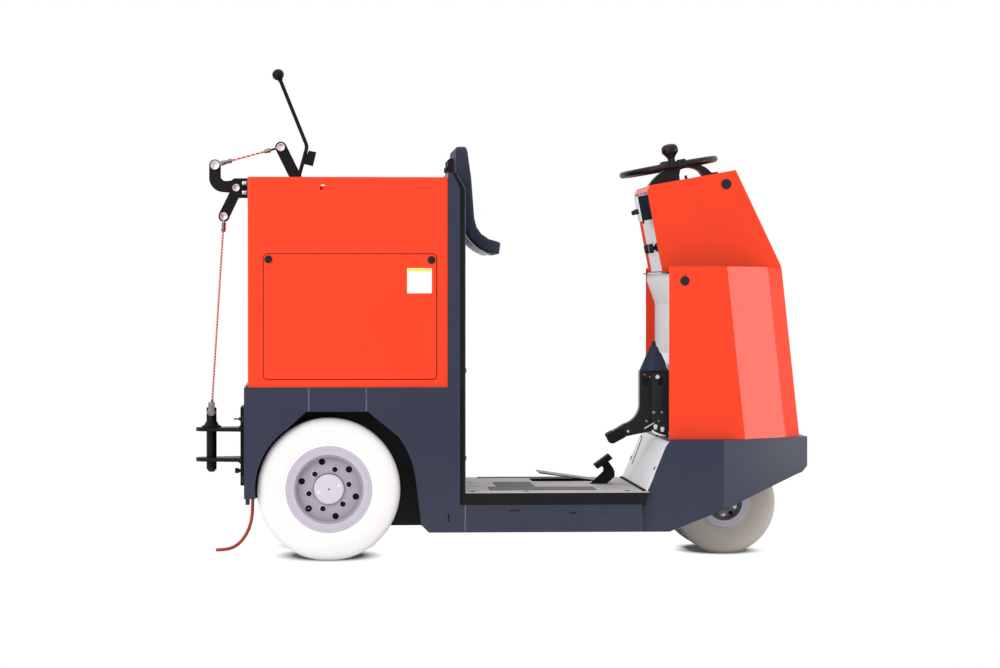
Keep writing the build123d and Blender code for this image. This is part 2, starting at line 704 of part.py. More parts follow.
# ---- pedal housing and the hanging pedal under it ---------------------------------------------------
housing_y = -60.0
panel_rear = panel_rows[0][0] - seat_gap
housing_x = 469.0
with BuildPart() as pedal_housing:
    with BuildSketch(Plane.XY.offset(553)):
        with Locations((housing_x, housing_y)):
            Circle(44)
    with BuildSketch(Plane.XY.offset(627)):
        with Locations((housing_x, housing_y)):
            Circle(11)
    loft()
    with BuildSketch(Plane.XY.offset(620)):
        with Locations((housing_x, housing_y)):
            Circle(5.5)
    extrude(amount=22)
    with Locations(((housing_x + panel_rear) / 2, housing_y, 590)):
        Box(panel_rear - housing_x, 24, 34)
pedal_housing.part.label = "pedal_housing"
export_step(pedal_housing.part, "parts/pedal_housing.step")

with BuildPart() as hanging_pedal:
    with BuildSketch(side_plane(housing_y + 22)):
        with BuildLine():
            Line((424, 552.7), (424, 450))
            ThreePointArc((424, 450), (410, 412), (376, 390))
            Polyline(
                (376, 390), (340, 368), (347, 350), (380, 352), (496, 375), (panel_rear, 366),
                (panel_rear, 552.7), (424, 552.7),
            )
        make_face()
        with BuildLine():
            Polyline((452, 530), (478, 530), (478, 460), (452, 440), close=True)
        make_face(mode=Mode.SUBTRACT)
    extrude(amount=44)
    with BuildSketch(side_plane(housing_y + 40)):
        with BuildLine():
            Polyline((324, 354), (369, 383), (380, 368), (334, 333), close=True)
        make_face()
    extrude(amount=80)
hanging_pedal.part.label = "hanging_pedal"
export_step(hanging_pedal.part, "parts/hanging_pedal.step")

# ---- wheels -----------------------------------------------------------------------------------------


def tyre_section(radius, width, rim_r, flange_r):
    """Section corners of a tyre as (axial, radial): beads, bulged walls, shoulders and tread."""
    bead = width * 0.4
    side = width / 2
    half = (
        (bead, rim_r), (bead, flange_r + 1), (side, (flange_r + radius) / 2), (side * 0.94, radius * 0.925),
        (side * 0.62, radius),
    )
    return [(-a, r) for a, r in reversed(half)] + list(half)


def rim_section(width, rim_r, flange_r, disc_at, disc_t, bore_r, hub_r, hub_in):
    """Section corners of a rim as (axial, radial): well, outer flange, cone, disc and hub."""
    bead = width * 0.4 + seat_gap
    return (
        (-bead, rim_r - seat_gap), (bead, rim_r - seat_gap), (bead + 1, flange_r), (bead + 5, flange_r),
        (bead + 5, flange_r - 5), (bead + 3.5, rim_r + 1), (bead - 1, rim_r - 5.5),
        (disc_at + disc_t, rim_r - 6), (disc_at + disc_t, hub_r),
        (disc_at + disc_t + 2, hub_r), (disc_at + disc_t + 2, bore_r), (hub_in, bore_r), (hub_in, hub_r),
        (disc_at, hub_r), (disc_at, rim_r - 6), (-bead, rim_r - 6),
    )


rear_rim_r = 101.5
rear_flange_r = 126.5
rear_bore_r = 25.0
rear_disc = (12.0, 6.0)
rear_hub_in = -34.0
cap_r = 45.0
for side, sign in sides:
    hub_plane = Plane(
        origin=(rear_axle_x, sign * rear_track_half, rear_axle_z), x_dir=(1, 0, 0), z_dir=(0, sign, 0),
    )
    spin_plane = Plane(origin=hub_plane.origin, x_dir=(0, sign, 0), z_dir=(sign, 0, 0))
    spin_axis = Axis(hub_plane.origin, hub_plane.z_dir)
    with BuildPart() as rear_tyre:
        with BuildSketch(spin_plane):
            with BuildLine():
                Polyline(*tyre_section(rear_tyre_r, rear_tyre_w, rear_rim_r, rear_flange_r), close=True)
            make_face()
        revolve(axis=spin_axis)
    rear_tyre.part.label = f"rear_tyre_{side}"
    export_step(rear_tyre.part, f"parts/rear_tyre_{side}.step")

    with BuildPart() as rear_rim:
        with BuildSketch(spin_plane):
            with BuildLine():
                Polyline(
                    *rim_section(
                        rear_tyre_w, rear_rim_r, rear_flange_r, *rear_disc, rear_bore_r + 0.06, cap_r, rear_hub_in,
                    ), close=True,
                )
            make_face()
        revolve(axis=spin_axis)
        with BuildSketch(hub_plane.offset(sum(rear_disc) + 2)):
            Circle(cap_r)
        extrude(amount=9)
        with BuildSketch(hub_plane.offset(rear_disc[0])):
            with PolarLocations(82.8, 6, start_angle=44):
                Circle(9.7)
        extrude(amount=rear_disc[1], mode=Mode.SUBTRACT)
    rear_rim.part.label = f"rear_rim_{side}"
    export_step(rear_rim.part, f"parts/rear_rim_{side}.step")

# ---- rear axle: tube, differential housing, stubs, and the motor ahead of it ------------------------
hub_inner = rear_track_half + rear_hub_in
with BuildPart() as rear_axle:
    with Locations(Location((rear_axle_x, 0, rear_axle_z), (90, 0, 0))):
        Cylinder(axle_tube_r, 2 * (hub_inner - 6))
        Cylinder(62, 2 * (hub_inner - 1), mode=Mode.ADD)
        Cylinder(63, 2 * (hub_inner - 14), mode=Mode.SUBTRACT)
        Cylinder(axle_tube_r, 2 * (hub_inner - 10))
        Cylinder(rear_bore_r, 2 * (rear_track_half + sum(rear_disc)))
    with BuildSketch(Plane.XZ.offset(0)):
        with Locations(axle_point):
            Circle(95)
    extrude(amount=60, both=True)
    chamfer(rear_axle.edges().filter_by(GeomType.CIRCLE).filter_by(lambda e: abs(e.radius - 95) < 0.5), 25)
    with BuildSketch(Plane.YZ.offset(rear_axle_x + 60)):
        with Locations((0, rear_axle_z)):
            Circle(70)
    extrude(amount=60)
rear_axle.part.label = "rear_axle"
export_step(rear_axle.part, "parts/rear_axle.step")

motor_r = 92.0
motor_rear_x = rear_axle_x + 120 + seat_gap
motor_front_gap = 56.0    # to the plate ahead of it
with BuildPart() as motor:
    with BuildSketch(Plane.YZ.offset(motor_rear_x)):
        with Locations((0, rear_axle_z)):
            Circle(motor_r)
    extrude(amount=floor_plate_front - motor_front_gap - motor_rear_x)
motor.part.label = "drive_motor"
export_step(motor.part, "parts/drive_motor.step")

# ---- twin front wheels ------------------------------------------------------------------------------
front_rim_r = 53.0
front_flange_r = 74.0
front_bore_r = 17.0
front_disc = (16.0, 5.0)
front_hub_in = -30.0
with BuildPart() as front_tyres:
    for side, sign in sides:
        front_spin = Plane(
            origin=(front_axle_x, sign * front_track_half, front_axle_z), x_dir=(0, sign, 0), z_dir=(sign, 0, 0),
        )
        with BuildSketch(front_spin):
            with BuildLine():
                Polyline(*tyre_section(front_tyre_r, front_tyre_w, front_rim_r, front_flange_r), close=True)
            make_face()
        revolve(axis=Axis((front_axle_x, 0, front_axle_z), (0, 1, 0)))
front_tyres.part.label = "front_tyres"
export_step(front_tyres.part, "parts/front_tyres.step")

with BuildPart() as front_rims:
    for side, sign in sides:
        front_spin = Plane(
            origin=(front_axle_x, sign * front_track_half, front_axle_z), x_dir=(0, sign, 0), z_dir=(sign, 0, 0),
        )
        front_hub = Plane(origin=front_spin.origin, x_dir=(1, 0, 0), z_dir=(0, sign, 0))
        with BuildSketch(front_spin):
            with BuildLine():
                Polyline(
                    *rim_section(
                        front_tyre_w, front_rim_r, front_flange_r, *front_disc, front_bore_r + 0.06, 30, front_hub_in,
                    ), close=True,
                )
            make_face()
        revolve(axis=Axis((front_axle_x, 0, front_axle_z), (0, 1, 0)))
        with BuildSketch(front_hub.offset(front_disc[0])):
            with PolarLocations(38, 5, start_angle=18):
                Circle(5.5)
        extrude(amount=front_disc[1], mode=Mode.SUBTRACT)
front_rims.part.label = "front_rims"
export_step(front_rims.part, "parts/front_rims.step")

# ---- steering yoke: turntable disc, spindle, central leg and the front axle -------------------------
yoke_disc_z = 316.0
with BuildPart() as yoke:
    with BuildSketch(Plane.XY.offset(yoke_disc_z)):
        with Locations((front_axle_x, 0)):
            Circle(95)
    extrude(amount=beam_bottom - seat_gap - yoke_disc_z)
    with BuildSketch(Plane.XY.offset(yoke_disc_z)):
        with Locations((front_axle_x, 0)):
            Circle(spindle_r)
    extrude(amount=beam_top + 24 - yoke_disc_z)
    with BuildSketch(Plane.XY.offset(front_axle_z - 32)):
        with Locations((front_axle_x, 0)):
            RectangleRounded(72, 90, 12)
    extrude(amount=yoke_disc_z + 2 - front_axle_z + 32)
    with Locations(Location((front_axle_x, 0, front_axle_z), (90, 0, 0))):
        Cylinder(front_bore_r, 2 * (front_track_half + sum(front_disc) + 12))
        Cylinder(27, 2 * (front_track_half + front_hub_in - 1))
yoke.part.label = "steering_yoke"
export_step(yoke.part, "parts/steering_yoke.step")

# ---- hitch: plate and two jaws, with the pin that drops through them --------------------------------
hitch_reach = 106.0       # from the chassis's rear face to the pin
hitch_x = chassis_rear_x - hitch_reach
hitch_pin_r = 15.5
jaw_r = 47.0              # round end of each jaw
jaw_upper = (369.0, 380.0)
jaw_lower = (277.0, 288.5)
hitch_plate_t = 10.0
hitch_plate_front = chassis_rear_x - seat_gap
hitch_plate_rear = hitch_plate_front - hitch_plate_t
gusset = 13.0             # legs of the webs that brace each jaw on the plate
gusset_t = 8.0
with BuildPart() as hitch:
    with BuildSketch(Plane.YZ.offset(hitch_plate_front)):
        with Locations((0, 326)):
            RectangleRounded(230, 238, 8)
    extrude(amount=-hitch_plate_t)
    for z0, z1 in (jaw_upper, jaw_lower):
        with BuildSketch(Plane.XY.offset(z0)):
            with BuildLine():
                Polyline(
                    (hitch_plate_rear + 2, -75), (hitch_x, -jaw_r), (hitch_x, jaw_r), (hitch_plate_rear + 2, 75),
                    close=True,
                )
            make_face()
            with Locations((hitch_x, 0)):
                Circle(jaw_r)
                Circle(hitch_pin_r + 0.1, mode=Mode.SUBTRACT)
        extrude(amount=z1 - z0)
    for face_z, rise in ((jaw_upper[1], gusset), (jaw_lower[0], -gusset)):
        for y in (-60, 60):
            with BuildSketch(side_plane(y + gusset_t / 2)):
                with BuildLine():
                    Polyline(
                        (hitch_plate_rear + 1, face_z - rise / 8), (hitch_plate_rear + 1, face_z + rise),
                        (hitch_plate_rear, face_z + rise), (hitch_plate_rear - gusset, face_z),
                        (hitch_plate_rear - gusset, face_z - rise / 8), close=True,
                    )
                make_face()
            extrude(amount=gusset_t)
hitch.part.label = "hitch_jaws"
export_step(hitch.part, "parts/hitch_jaws.step")

pin_eye_z = jaw_upper[1] + 46
pin_top_z = jaw_upper[1] + 61
pin_tip_z = jaw_lower[0] - 33
pin_tip_chamfer = 10.0
pin_head_r = 14.6         # above the collar
collar_z = (jaw_upper[1] + seat_gap, jaw_upper[1] + 11, jaw_upper[1] + 20)     # rest, top of its rim, of its cone
collar_r = (29.5, 21.0)
link_y = (-6.6, -0.6)
link_mid_y = (link_y[0] + link_y[1]) / 2
pin_bolt_r = 4.0
eye_rim = 4.6             # metal round a link's bore
upper_slack = 4.6         # room round the pin in each link's far eye, taken up as the gear swings
lower_slack = 5.8
fork_z = pin_eye_z - pin_bolt_r - 2 * lower_slack - eye_rim - 5
with BuildPart() as hitch_pin:
    with BuildSketch(side_plane(0, (hitch_x, 0))):
        with BuildLine():
            Polyline(
                (0, pin_tip_z), (hitch_pin_r - pin_tip_chamfer, pin_tip_z), (hitch_pin_r, pin_tip_z + pin_tip_chamfer),
                (hitch_pin_r, collar_z[0]), (collar_r[0], collar_z[0]), (collar_r[0], collar_z[1]),
                (collar_r[1], collar_z[2]), (pin_head_r, collar_z[2]), (pin_head_r, pin_top_z), (0, pin_top_z),
                close=True,
            )
        make_face()
    revolve(axis=Axis((hitch_x, 0, 0), (0, 0, 1)))
    with Locations((hitch_x, link_mid_y, pin_top_z)):
        Box(40, link_y[1] - link_y[0] + 3, 2 * (pin_top_z - fork_z), mode=Mode.SUBTRACT)
    with Locations(Location((hitch_x, link_mid_y, pin_eye_z), (90, 0, 0))):
        Cylinder(pin_bolt_r, 24)
hitch_pin.part.label = "hitch_pin"
export_step(hitch_pin.part, "parts/hitch_pin.step")

# ---- release gear: lever, upper link, bellcrank, lower link -----------------------------------------
lever_pivot = (box_rear_x + 169, tray_z + 28)
lever_pin = beside(lever_pivot, -74, 150)
crank_pivot = (box_rear_x - 41, box_top - 20)
crank_upper = beside(crank_pivot, -64.5, 69)
crank_lower = beside(crank_pivot, -37.5, -87)
pivot_r = 8.0
link_pin_r = 5.0
fit = 0.06                # running clearance on a radius
arm_y = (0.0, 8.0)
cheek_gap = 0.6           # between an arm and the cheek beside it
head_t = 3.0              # thickness of the pins' heads
head_y = link_y[0] - cheek_gap

with BuildPart() as lever_bracket:
    with BuildSketch(Plane.XY.offset(tray_z)):
        with Locations((lever_pivot[0], (arm_y[0] + arm_y[1]) / 2)):
            Rectangle(70, 66)
    extrude(amount=6)
    for cheek_near in (arm_y[0] - cheek_gap, arm_y[1] + cheek_gap + 8):
        with BuildSketch(side_plane(cheek_near)):
            with BuildLine():
                Polyline(
                    (lever_pivot[0] - 26, tray_z + 3), (lever_pivot[0] - 12, lever_pivot[1] + 14),
                    (lever_pivot[0] + 12, lever_pivot[1] + 14), (lever_pivot[0] + 26, tray_z + 3), close=True,
                )
            make_face()
        extrude(amount=8)
    with BuildSketch(side_plane(arm_y[1] + cheek_gap + 11)):
        with Locations(lever_pivot):
            Circle(pivot_r)
    extrude(amount=arm_y[1] - arm_y[0] + 2 * cheek_gap + 22)
lever_bracket.part.label = "lever_bracket"
export_step(lever_bracket.part, "parts/lever_bracket.step")

lever_arm_w = 35.0
lever_rod_r = 5.8
ball_r = 18.0
rod_foot = beside(lever_pivot, -18, 65)
lever_bend = beside(lever_pivot, 6, 153)
ball_centre = beside(lever_pivot, -82, 371)
rod_y = (arm_y[0] + arm_y[1]) / 2
rod_bend_r = 30.0
ball_neck_r = 7.4
block_corners = ((11, 140), (34, 135), (24, 93), (-8, 100))     # from the pivot
with BuildPart() as release_lever:
    with BuildSketch(side_plane(arm_y[1])):
        with Locations(((lever_pivot[0] + lever_pin[0]) / 2, (lever_pivot[1] + lever_pin[1]) / 2)):
            SlotCenterToCenter(
                hypot(lever_pin[0] - lever_pivot[0], lever_pin[1] - lever_pivot[1]), lever_arm_w,
                rotation=degrees(atan2(lever_pin[1] - lever_pivot[1], lever_pin[0] - lever_pivot[0])),
            )
        with Locations(lever_pivot):
            Circle(pivot_r + fit, mode=Mode.SUBTRACT)
    extrude(amount=arm_y[1] - arm_y[0])
    with BuildSketch(side_plane(rod_y + 14, lever_pivot)):
        with BuildLine():
            Polyline(*block_corners, close=True)
        make_face()
    extrude(amount=28)
    with BuildSketch(side_plane(arm_y[0])):
        with Locations(lever_pin):
            Circle(link_pin_r)
    extrude(amount=arm_y[0] - head_y + head_t)
    with BuildSketch(side_plane(head_y)):
        with Locations(lever_pin):
            Circle(13.3)
    extrude(amount=head_t)
    rod_run = Vector(ball_centre[0] - lever_bend[0], 0, ball_centre[1] - lever_bend[1])
    rod_start = Vector(rod_foot[0], rod_y, rod_foot[1])
    rod_bend = Vector(lever_bend[0], rod_y, lever_bend[1])
    rod_end = Vector(ball_centre[0], rod_y, ball_centre[1]) - rod_run.normalized() * ball_r
    with BuildLine():
        FilletPolyline(rod_start, rod_bend, rod_end, radius=rod_bend_r)
    with BuildSketch(Plane(origin=rod_start, z_dir=rod_bend - rod_start)):
        Circle(lever_rod_r)
    sweep()
    with BuildSketch(Plane(origin=rod_end, x_dir=(0, 1, 0), z_dir=Vector(0, 1, 0).cross(rod_run))):
        with BuildLine():
            Polyline((2, 2 * ball_r - 0.1), (0, 2 * ball_r - 0.1), (0, -2), (ball_neck_r, -2), (ball_neck_r, 3))
            ThreePointArc((ball_neck_r, 3), (ball_r, ball_r), (2, 2 * ball_r - 0.1))
        make_face()
    revolve(axis=Axis(rod_end, rod_run))
release_lever.part.label = "release_lever"
export_step(release_lever.part, "parts/release_lever.step")

link_rod_r = 2.4


def link_between(start, end, far_bore):
    """Eyed link in the links' plane, a round rod between its eyes; the far eye is bored large."""
    length = hypot(end[0] - start[0], end[1] - start[1])
    with BuildPart() as link:
        with BuildSketch(side_plane(link_y[1])):
            with Locations(start):
                Circle(link_pin_r + fit + eye_rim)
                Circle(link_pin_r + fit, mode=Mode.SUBTRACT)
            with Locations(end):
                Circle(far_bore + eye_rim)
                Circle(far_bore, mode=Mode.SUBTRACT)
        extrude(amount=link_y[1] - link_y[0])
        along = Plane(
            origin=(start[0], link_mid_y, start[1]), x_dir=(0, 1, 0), z_dir=(end[0] - start[0], 0, end[1] - start[1]),
        )
        with BuildSketch(along.offset(link_pin_r + fit + eye_rim / 2)):
            Circle(link_rod_r)
        extrude(amount=length - link_pin_r - fit - eye_rim - far_bore)
    return link


upper_link = link_between(lever_pin, crank_upper, link_pin_r + upper_slack)
upper_link.part.label = "upper_link"
export_step(upper_link.part, "parts/upper_link.step")

lower_link = link_between(crank_lower, (hitch_x, pin_eye_z), pin_bolt_r + lower_slack)
lower_link.part.label = "lower_link"
export_step(lower_link.part, "parts/lower_link.step")

crank_hub_r = 24.0
crank_pins = ((crank_upper, 14.5), (crank_lower, 12.3))     # centre, radius of the head
with BuildPart() as bellcrank:
    with BuildSketch(side_plane(arm_y[1], crank_pivot)):
        with BuildLine():
            Line((-47, 69), (-47, 34))
            ThreePointArc((-47, 34), (-42.5, 25), (-33, 21))
            Polyline((-33, 21), (0, 23), (0, -19), (-19, -15), (-43, -13))
            ThreePointArc((-43, -13), (-68, -2), (-82.5, 34))
            Line((-82.5, 34), (-82.5, 69))
            ThreePointArc((-82.5, 69), (-64.5, 86.5), (-47, 69))
        make_face()
        Circle(crank_hub_r)
        with Locations((crank_lower[0] - crank_pivot[0], crank_lower[1] - crank_pivot[1])):
            Circle(17)
        with BuildLine():
            Polyline((-21, -15), (-53, -79), (-23, -95), (12, -21), close=True)
        make_face()
        Circle(pivot_r + fit, mode=Mode.SUBTRACT)
    extrude(amount=arm_y[1] - arm_y[0])
    for crank_pin, head_r in crank_pins:
        with BuildSketch(side_plane(arm_y[0])):
            with Locations(crank_pin):
                Circle(link_pin_r)
        extrude(amount=arm_y[0] - head_y + head_t)
        with BuildSketch(side_plane(head_y)):
            with Locations(crank_pin):
                Circle(head_r)
        extrude(amount=head_t)
bellcrank.part.label = "bellcrank"
export_step(bellcrank.part, "parts/bellcrank.step")

cheek_t = 6.0
bracket_foot_x = box_rear_x - seat_gap
cheek_foot = bracket_foot_x - 3 - crank_pivot[0]
with BuildPart() as crank_bracket:
    with BuildSketch(Plane.YZ.offset(bracket_foot_x)):
        with Locations(((arm_y[0] + arm_y[1]) / 2, crank_pivot[1] - 3)):
            Rectangle(64, 64)
    extrude(amount=-6)
    for cheek_far in (arm_y[0] - cheek_gap, arm_y[1] + cheek_gap + cheek_t):
        with BuildSketch(side_plane(cheek_far, crank_pivot)):
            with BuildLine():
                Polyline(
                    (cheek_foot, 29), (-6, 29), (-19, 20), (-19, -19), (-6, -31), (cheek_foot, -31), close=True,
                )
            make_face()
        extrude(amount=cheek_t)
    with BuildSketch(side_plane(arm_y[1] + cheek_gap + cheek_t + 1)):
        with Locations(crank_pivot):
            Circle(pivot_r)
    extrude(amount=arm_y[1] - arm_y[0] + 2 * (cheek_gap + cheek_t) + 1)
    with BuildSketch(side_plane(arm_y[0] - cheek_gap - cheek_t)):
        with Locations(crank_pivot):
            Circle(11.7)
    extrude(amount=head_t)
crank_bracket.part.label = "crank_bracket"
export_step(crank_bracket.part, "parts/crank_bracket.step")

# ---- anti-static strap that trails on the floor -----------------------------------------------------
strap_r = 5.0
strap_route = ((-756, 161), (-756, 118), (-764, 76), (-781, 42), (-806, 16), (-838, strap_r), (-868, strap_r))
strap_points = [(x, 0, z) for x, z in strap_route]


def bend_radii(points):
    """0.45 of the shorter run, divided by the tangent of half the turn, at each inner point."""
    radii = []
    for before, here, after in zip(points, points[1:], points[2:]):
        run_in = Vector(*here) - Vector(*before)
        run_out = Vector(*after) - Vector(*here)
        turn = radians(run_in.get_angle(run_out))
        radii.append(0.45 * min(run_in.length, run_out.length) / tan(turn / 2))
    return radii


with BuildPart() as strap:
    with BuildLine() as strap_line:
        FilletPolyline(*strap_points, radius=bend_radii(strap_points))
    with BuildSketch(Plane(origin=strap_points[0], z_dir=(0, 0, -1))):
        Circle(strap_r)
    sweep()
print("strap bend radii", [round(r) for r in bend_radii(strap_points)])
print("strap length", round(sum(edge.length for edge in strap_line.edges())))
strap.part.label = "ground_strap"
export_step(strap.part, "parts/ground_strap.step")
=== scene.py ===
import json
import math

import bpy
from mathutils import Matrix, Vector


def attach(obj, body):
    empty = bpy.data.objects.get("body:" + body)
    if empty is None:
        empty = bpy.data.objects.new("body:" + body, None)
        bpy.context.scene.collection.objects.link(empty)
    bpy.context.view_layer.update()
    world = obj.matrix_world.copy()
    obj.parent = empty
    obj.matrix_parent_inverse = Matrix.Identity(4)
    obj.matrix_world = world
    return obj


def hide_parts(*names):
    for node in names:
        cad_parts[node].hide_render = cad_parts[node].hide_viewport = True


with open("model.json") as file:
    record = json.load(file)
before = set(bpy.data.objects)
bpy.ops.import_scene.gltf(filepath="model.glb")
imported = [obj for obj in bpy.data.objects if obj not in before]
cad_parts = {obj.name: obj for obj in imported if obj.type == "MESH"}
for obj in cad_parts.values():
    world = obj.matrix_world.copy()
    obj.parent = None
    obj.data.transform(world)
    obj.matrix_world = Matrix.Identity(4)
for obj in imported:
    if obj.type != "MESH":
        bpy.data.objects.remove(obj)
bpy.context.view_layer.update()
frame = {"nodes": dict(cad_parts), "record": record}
nodes = frame["nodes"]
print("frame loaded:", len(nodes), "nodes")


class Wire:  # one output socket, with the operators written out as Math nodes
    def __init__(self, tree, socket):
        self.tree = tree
        self.socket = socket

    def combine(self, operation, first, second=None):
        maths = self.tree.nodes.new("ShaderNodeMath")
        maths.operation = operation
        for slot, value in enumerate((first, second)):
            if isinstance(value, Wire):
                self.tree.links.new(value.socket, maths.inputs[slot])
            elif value is not None:
                maths.inputs[slot].default_value = value
        return Wire(self.tree, maths.outputs[0])

    def __add__(self, other):
        return self.combine("ADD", self, other)

    __radd__ = __add__

    def __mul__(self, other):
        return self.combine("MULTIPLY", self, other)

    def __sub__(self, other):
        return self.combine("SUBTRACT", self, other)

    def __rsub__(self, other):
        return self.combine("SUBTRACT", other, self)

    def __truediv__(self, other):
        return self.combine("DIVIDE", self, other)

    def __lt__(self, other):
        return self.combine("LESS_THAN", self, other)

    def __gt__(self, other):
        return self.combine("GREATER_THAN", self, other)

    def power(self, other):
        return self.combine("POWER", self, other)

    def size(self):
        return self.combine("ABSOLUTE", self)


class Finish:  # one material, and the single way to add any other node to it
    def __init__(self, name, color, roughness, metallic=0.0, coat=0.0, coatRoughness=0.2, specular=0.5):
        self.material = bpy.data.materials.new(name)
        self.material.use_nodes = True
        self.tree = self.material.node_tree
        self.shader = self.tree.nodes["Principled BSDF"]
        self.put("Base Color", (*color, 1))
        self.put("Roughness", roughness)
        self.put("Metallic", metallic)
        self.put("Coat Weight", coat)
        self.put("Coat Roughness", coatRoughness)
        self.put("Specular IOR Level", specular)
        self.material.diffuse_color = (*color, 1)

    def put(self, name, value):
        if isinstance(value, Wire):
            self.tree.links.new(value.socket, self.shader.inputs[name])
        else:
            self.shader.inputs[name].default_value = value

    def node(self, kind, settings=None, inputs=None, out=0):
        made = self.tree.nodes.new(kind)
        for key, value in (settings or {}).items():
            if key == "stops":
                while len(made.color_ramp.elements) < len(value):
                    made.color_ramp.elements.new(0.5)
                for element, (place, color) in zip(made.color_ramp.elements, value):
                    element.position = place
                    element.color = color
            else:
                setattr(made, key, value)
        for key, value in (inputs or {}).items():
            if isinstance(value, Wire):
                self.tree.links.new(value.socket, made.inputs[key])
            else:
                made.inputs[key].default_value = value
        return Wire(self.tree, made.outputs[out])

    def place(self):
        return self.node("ShaderNodeTexCoord", out=3)

    def axis(self, index):
        return self.node("ShaderNodeSeparateXYZ", inputs={0: self.place()}, out=index)

    def noise(self, scale, detail=3.0, roughness=0.5, stretch=None):
        source = self.place()
        if stretch:
            source = self.node("ShaderNodeMapping", inputs={"Vector": source, "Scale": stretch})
        return self.node(
            "ShaderNodeTexNoise", inputs={"Vector": source, "Scale": scale, "Detail": detail, "Roughness": roughness}
        )

    def between(self, low, high, value):  # a straight blend of two numbers by a wire
        return value * (high - low) + low

    def ramp(self, value, start, stop):  # 0 below start, 1 above stop
        return self.node(
            "ShaderNodeMapRange", {"clamp": True}, {"Value": value, "From Min": start, "From Max": stop}
        )

    def blend(self, factor, first, second):
        values = {0: factor, 6: first, 7: second}
        for key in (6, 7):
            if not isinstance(values[key], Wire):
                values[key] = (*values[key], 1)
        return self.node("ShaderNodeMix", {"data_type": "RGBA"}, values, out=2)

    def relief(self, height, distance, strength=1.0):
        self.put(
            "Normal",
            self.node("ShaderNodeBump", inputs={"Height": height, "Distance": distance, "Strength": strength}),
        )


def shade(color, factor):
    return tuple(min(1.0, c * factor) for c in color)


finishRows = (  # name, color, roughness, specular and what else it has
    ("orangePaint", (0.95, 0.049, 0.008), 0.5, 0.08, {"coat": 0.38, "coatRoughness": 0.08}),
    ("slatePaint", (0.021, 0.027, 0.055), 0.5, 0.2, {"coat": 0.25, "coatRoughness": 0.16}),
    ("blackPaint", (0.0042, 0.0040, 0.0052), 0.42, 0.16, {}),
    ("lightPaint", (0.95, 0.94, 0.97), 0.42, 0.3, {}),
    ("deckPaint", (0.52, 0.49, 0.48), 0.6, 0.3, {}),
    ("rimPaint", (0.58, 0.545, 0.64), 0.34, 0.4, {"coat": 0.3, "coatRoughness": 0.1}),
    ("paleTyre", (0.965, 0.95, 0.925), 0.8, 0.25, {}),
    ("tanTyre", (0.60, 0.55, 0.49), 0.8, 0.25, {}),
    ("blackRubber", (0.006, 0.006, 0.007), 0.72, 0.2, {}),
    ("slateFoam", (0.024, 0.030, 0.057), 0.6, 0.22, {}),
    ("blackPlastic", (0.0042, 0.0042, 0.0060), 0.32, 0.28, {}),
    ("brightSteel", (0.70, 0.69, 0.72), 0.3, 0.5, {"metallic": 1.0}),
    ("darkIron", (0.012, 0.012, 0.014), 0.6, 0.3, {}),
    ("batteryCase", (0.012, 0.012, 0.016), 0.55, 0.5, {}),
    ("strapRed", (0.56, 0.080, 0.045), 0.62, 0.25, {}),
    ("bareLabel", (0.90, 0.90, 0.90), 0.4, 0.5, {}),
    ("amberBand", (0.98, 0.78, 0.03), 0.4, 0.5, {}),
    ("gritPad", (0.17, 0.165, 0.18), 0.85, 0.3, {}),
    ("whiteNylon", (0.84, 0.84, 0.85), 0.4, 0.5, {}),
    ("signalRed", (0.62, 0.05, 0.02), 0.4, 0.5, {}),
    ("graphite", (0.004, 0.004, 0.005), 0.5, 0.15, {}),
    ("plugGrey", (0.011, 0.012, 0.019), 0.45, 0.25, {}),
    ("hubPaint", (0.66, 0.63, 0.71), 0.36, 0.4, {"coat": 0.15}),
    ("seamBrown", (0.035, 0.008, 0.006), 0.6, 0.2, {}),
    ("weldSlate", (0.095, 0.105, 0.140), 0.5, 0.5, {}),
    ("brass", (0.78, 0.50, 0.22), 0.35, 0.5, {"metallic": 1.0}),
    ("boxSlate", (0.017, 0.022, 0.032), 0.6, 0.0, {}),
    ("dullSteel", (0.25, 0.245, 0.25), 0.42, 0.5, {"metallic": 1.0}),
    ("blackSteel", (0.0060, 0.0060, 0.0075), 0.36, 0.3, {}),
)
finishes = {
    name: {"color": color, "roughness": roughness, "specular": specular, **more}
    for name, color, roughness, specular, more in finishRows
}


def painted(name, peel=0.00004, peelScale=700.0, grime=0.10, dusty=(0.30, 0.29, 0.28)):
    made = Finish(name, **finishes[name])
    base = finishes[name]["color"]
    cloud = made.noise(5.0, 4.0)
    speck = made.noise(160.0, 2.0)
    worn = made.ramp(cloud * 0.7 + speck * 0.3, 0.42, 0.72)
    tone = made.blend(worn, shade(base, 1.03), shade(base, 0.94))
    low = (1 - made.ramp(made.axis(2), 0.02, 0.34)) * made.noise(26.0, 5.0, 0.7) * grime
    made.put("Base Color", made.blend(low, tone, dusty))
    smear = made.noise(9.0, 5.0, 0.6, (1.0, 1.0, 3.0))
    made.put("Roughness", made.between(finishes[name]["roughness"] - 0.05, finishes[name]["roughness"] + 0.09, smear))
    made.relief(made.noise(peelScale, 2.0), peel, 0.5)
    return made.material


def steel(name):
    made = Finish(name, **finishes[name])
    base = finishes[name]["color"]
    grain = made.noise(40.0, 3.0, 0.6, (1.0, 1.0, 60.0))
    dull = made.noise(22.0, 4.0)
    made.put("Base Color", made.blend(made.ramp(dull, 0.35, 0.75), base, shade(base, 0.72)))
    made.put("Roughness", made.between(0.2, 0.46, grain * 0.5 + dull * 0.5))
    made.relief(grain, 0.00003, 0.35)
    return made.material


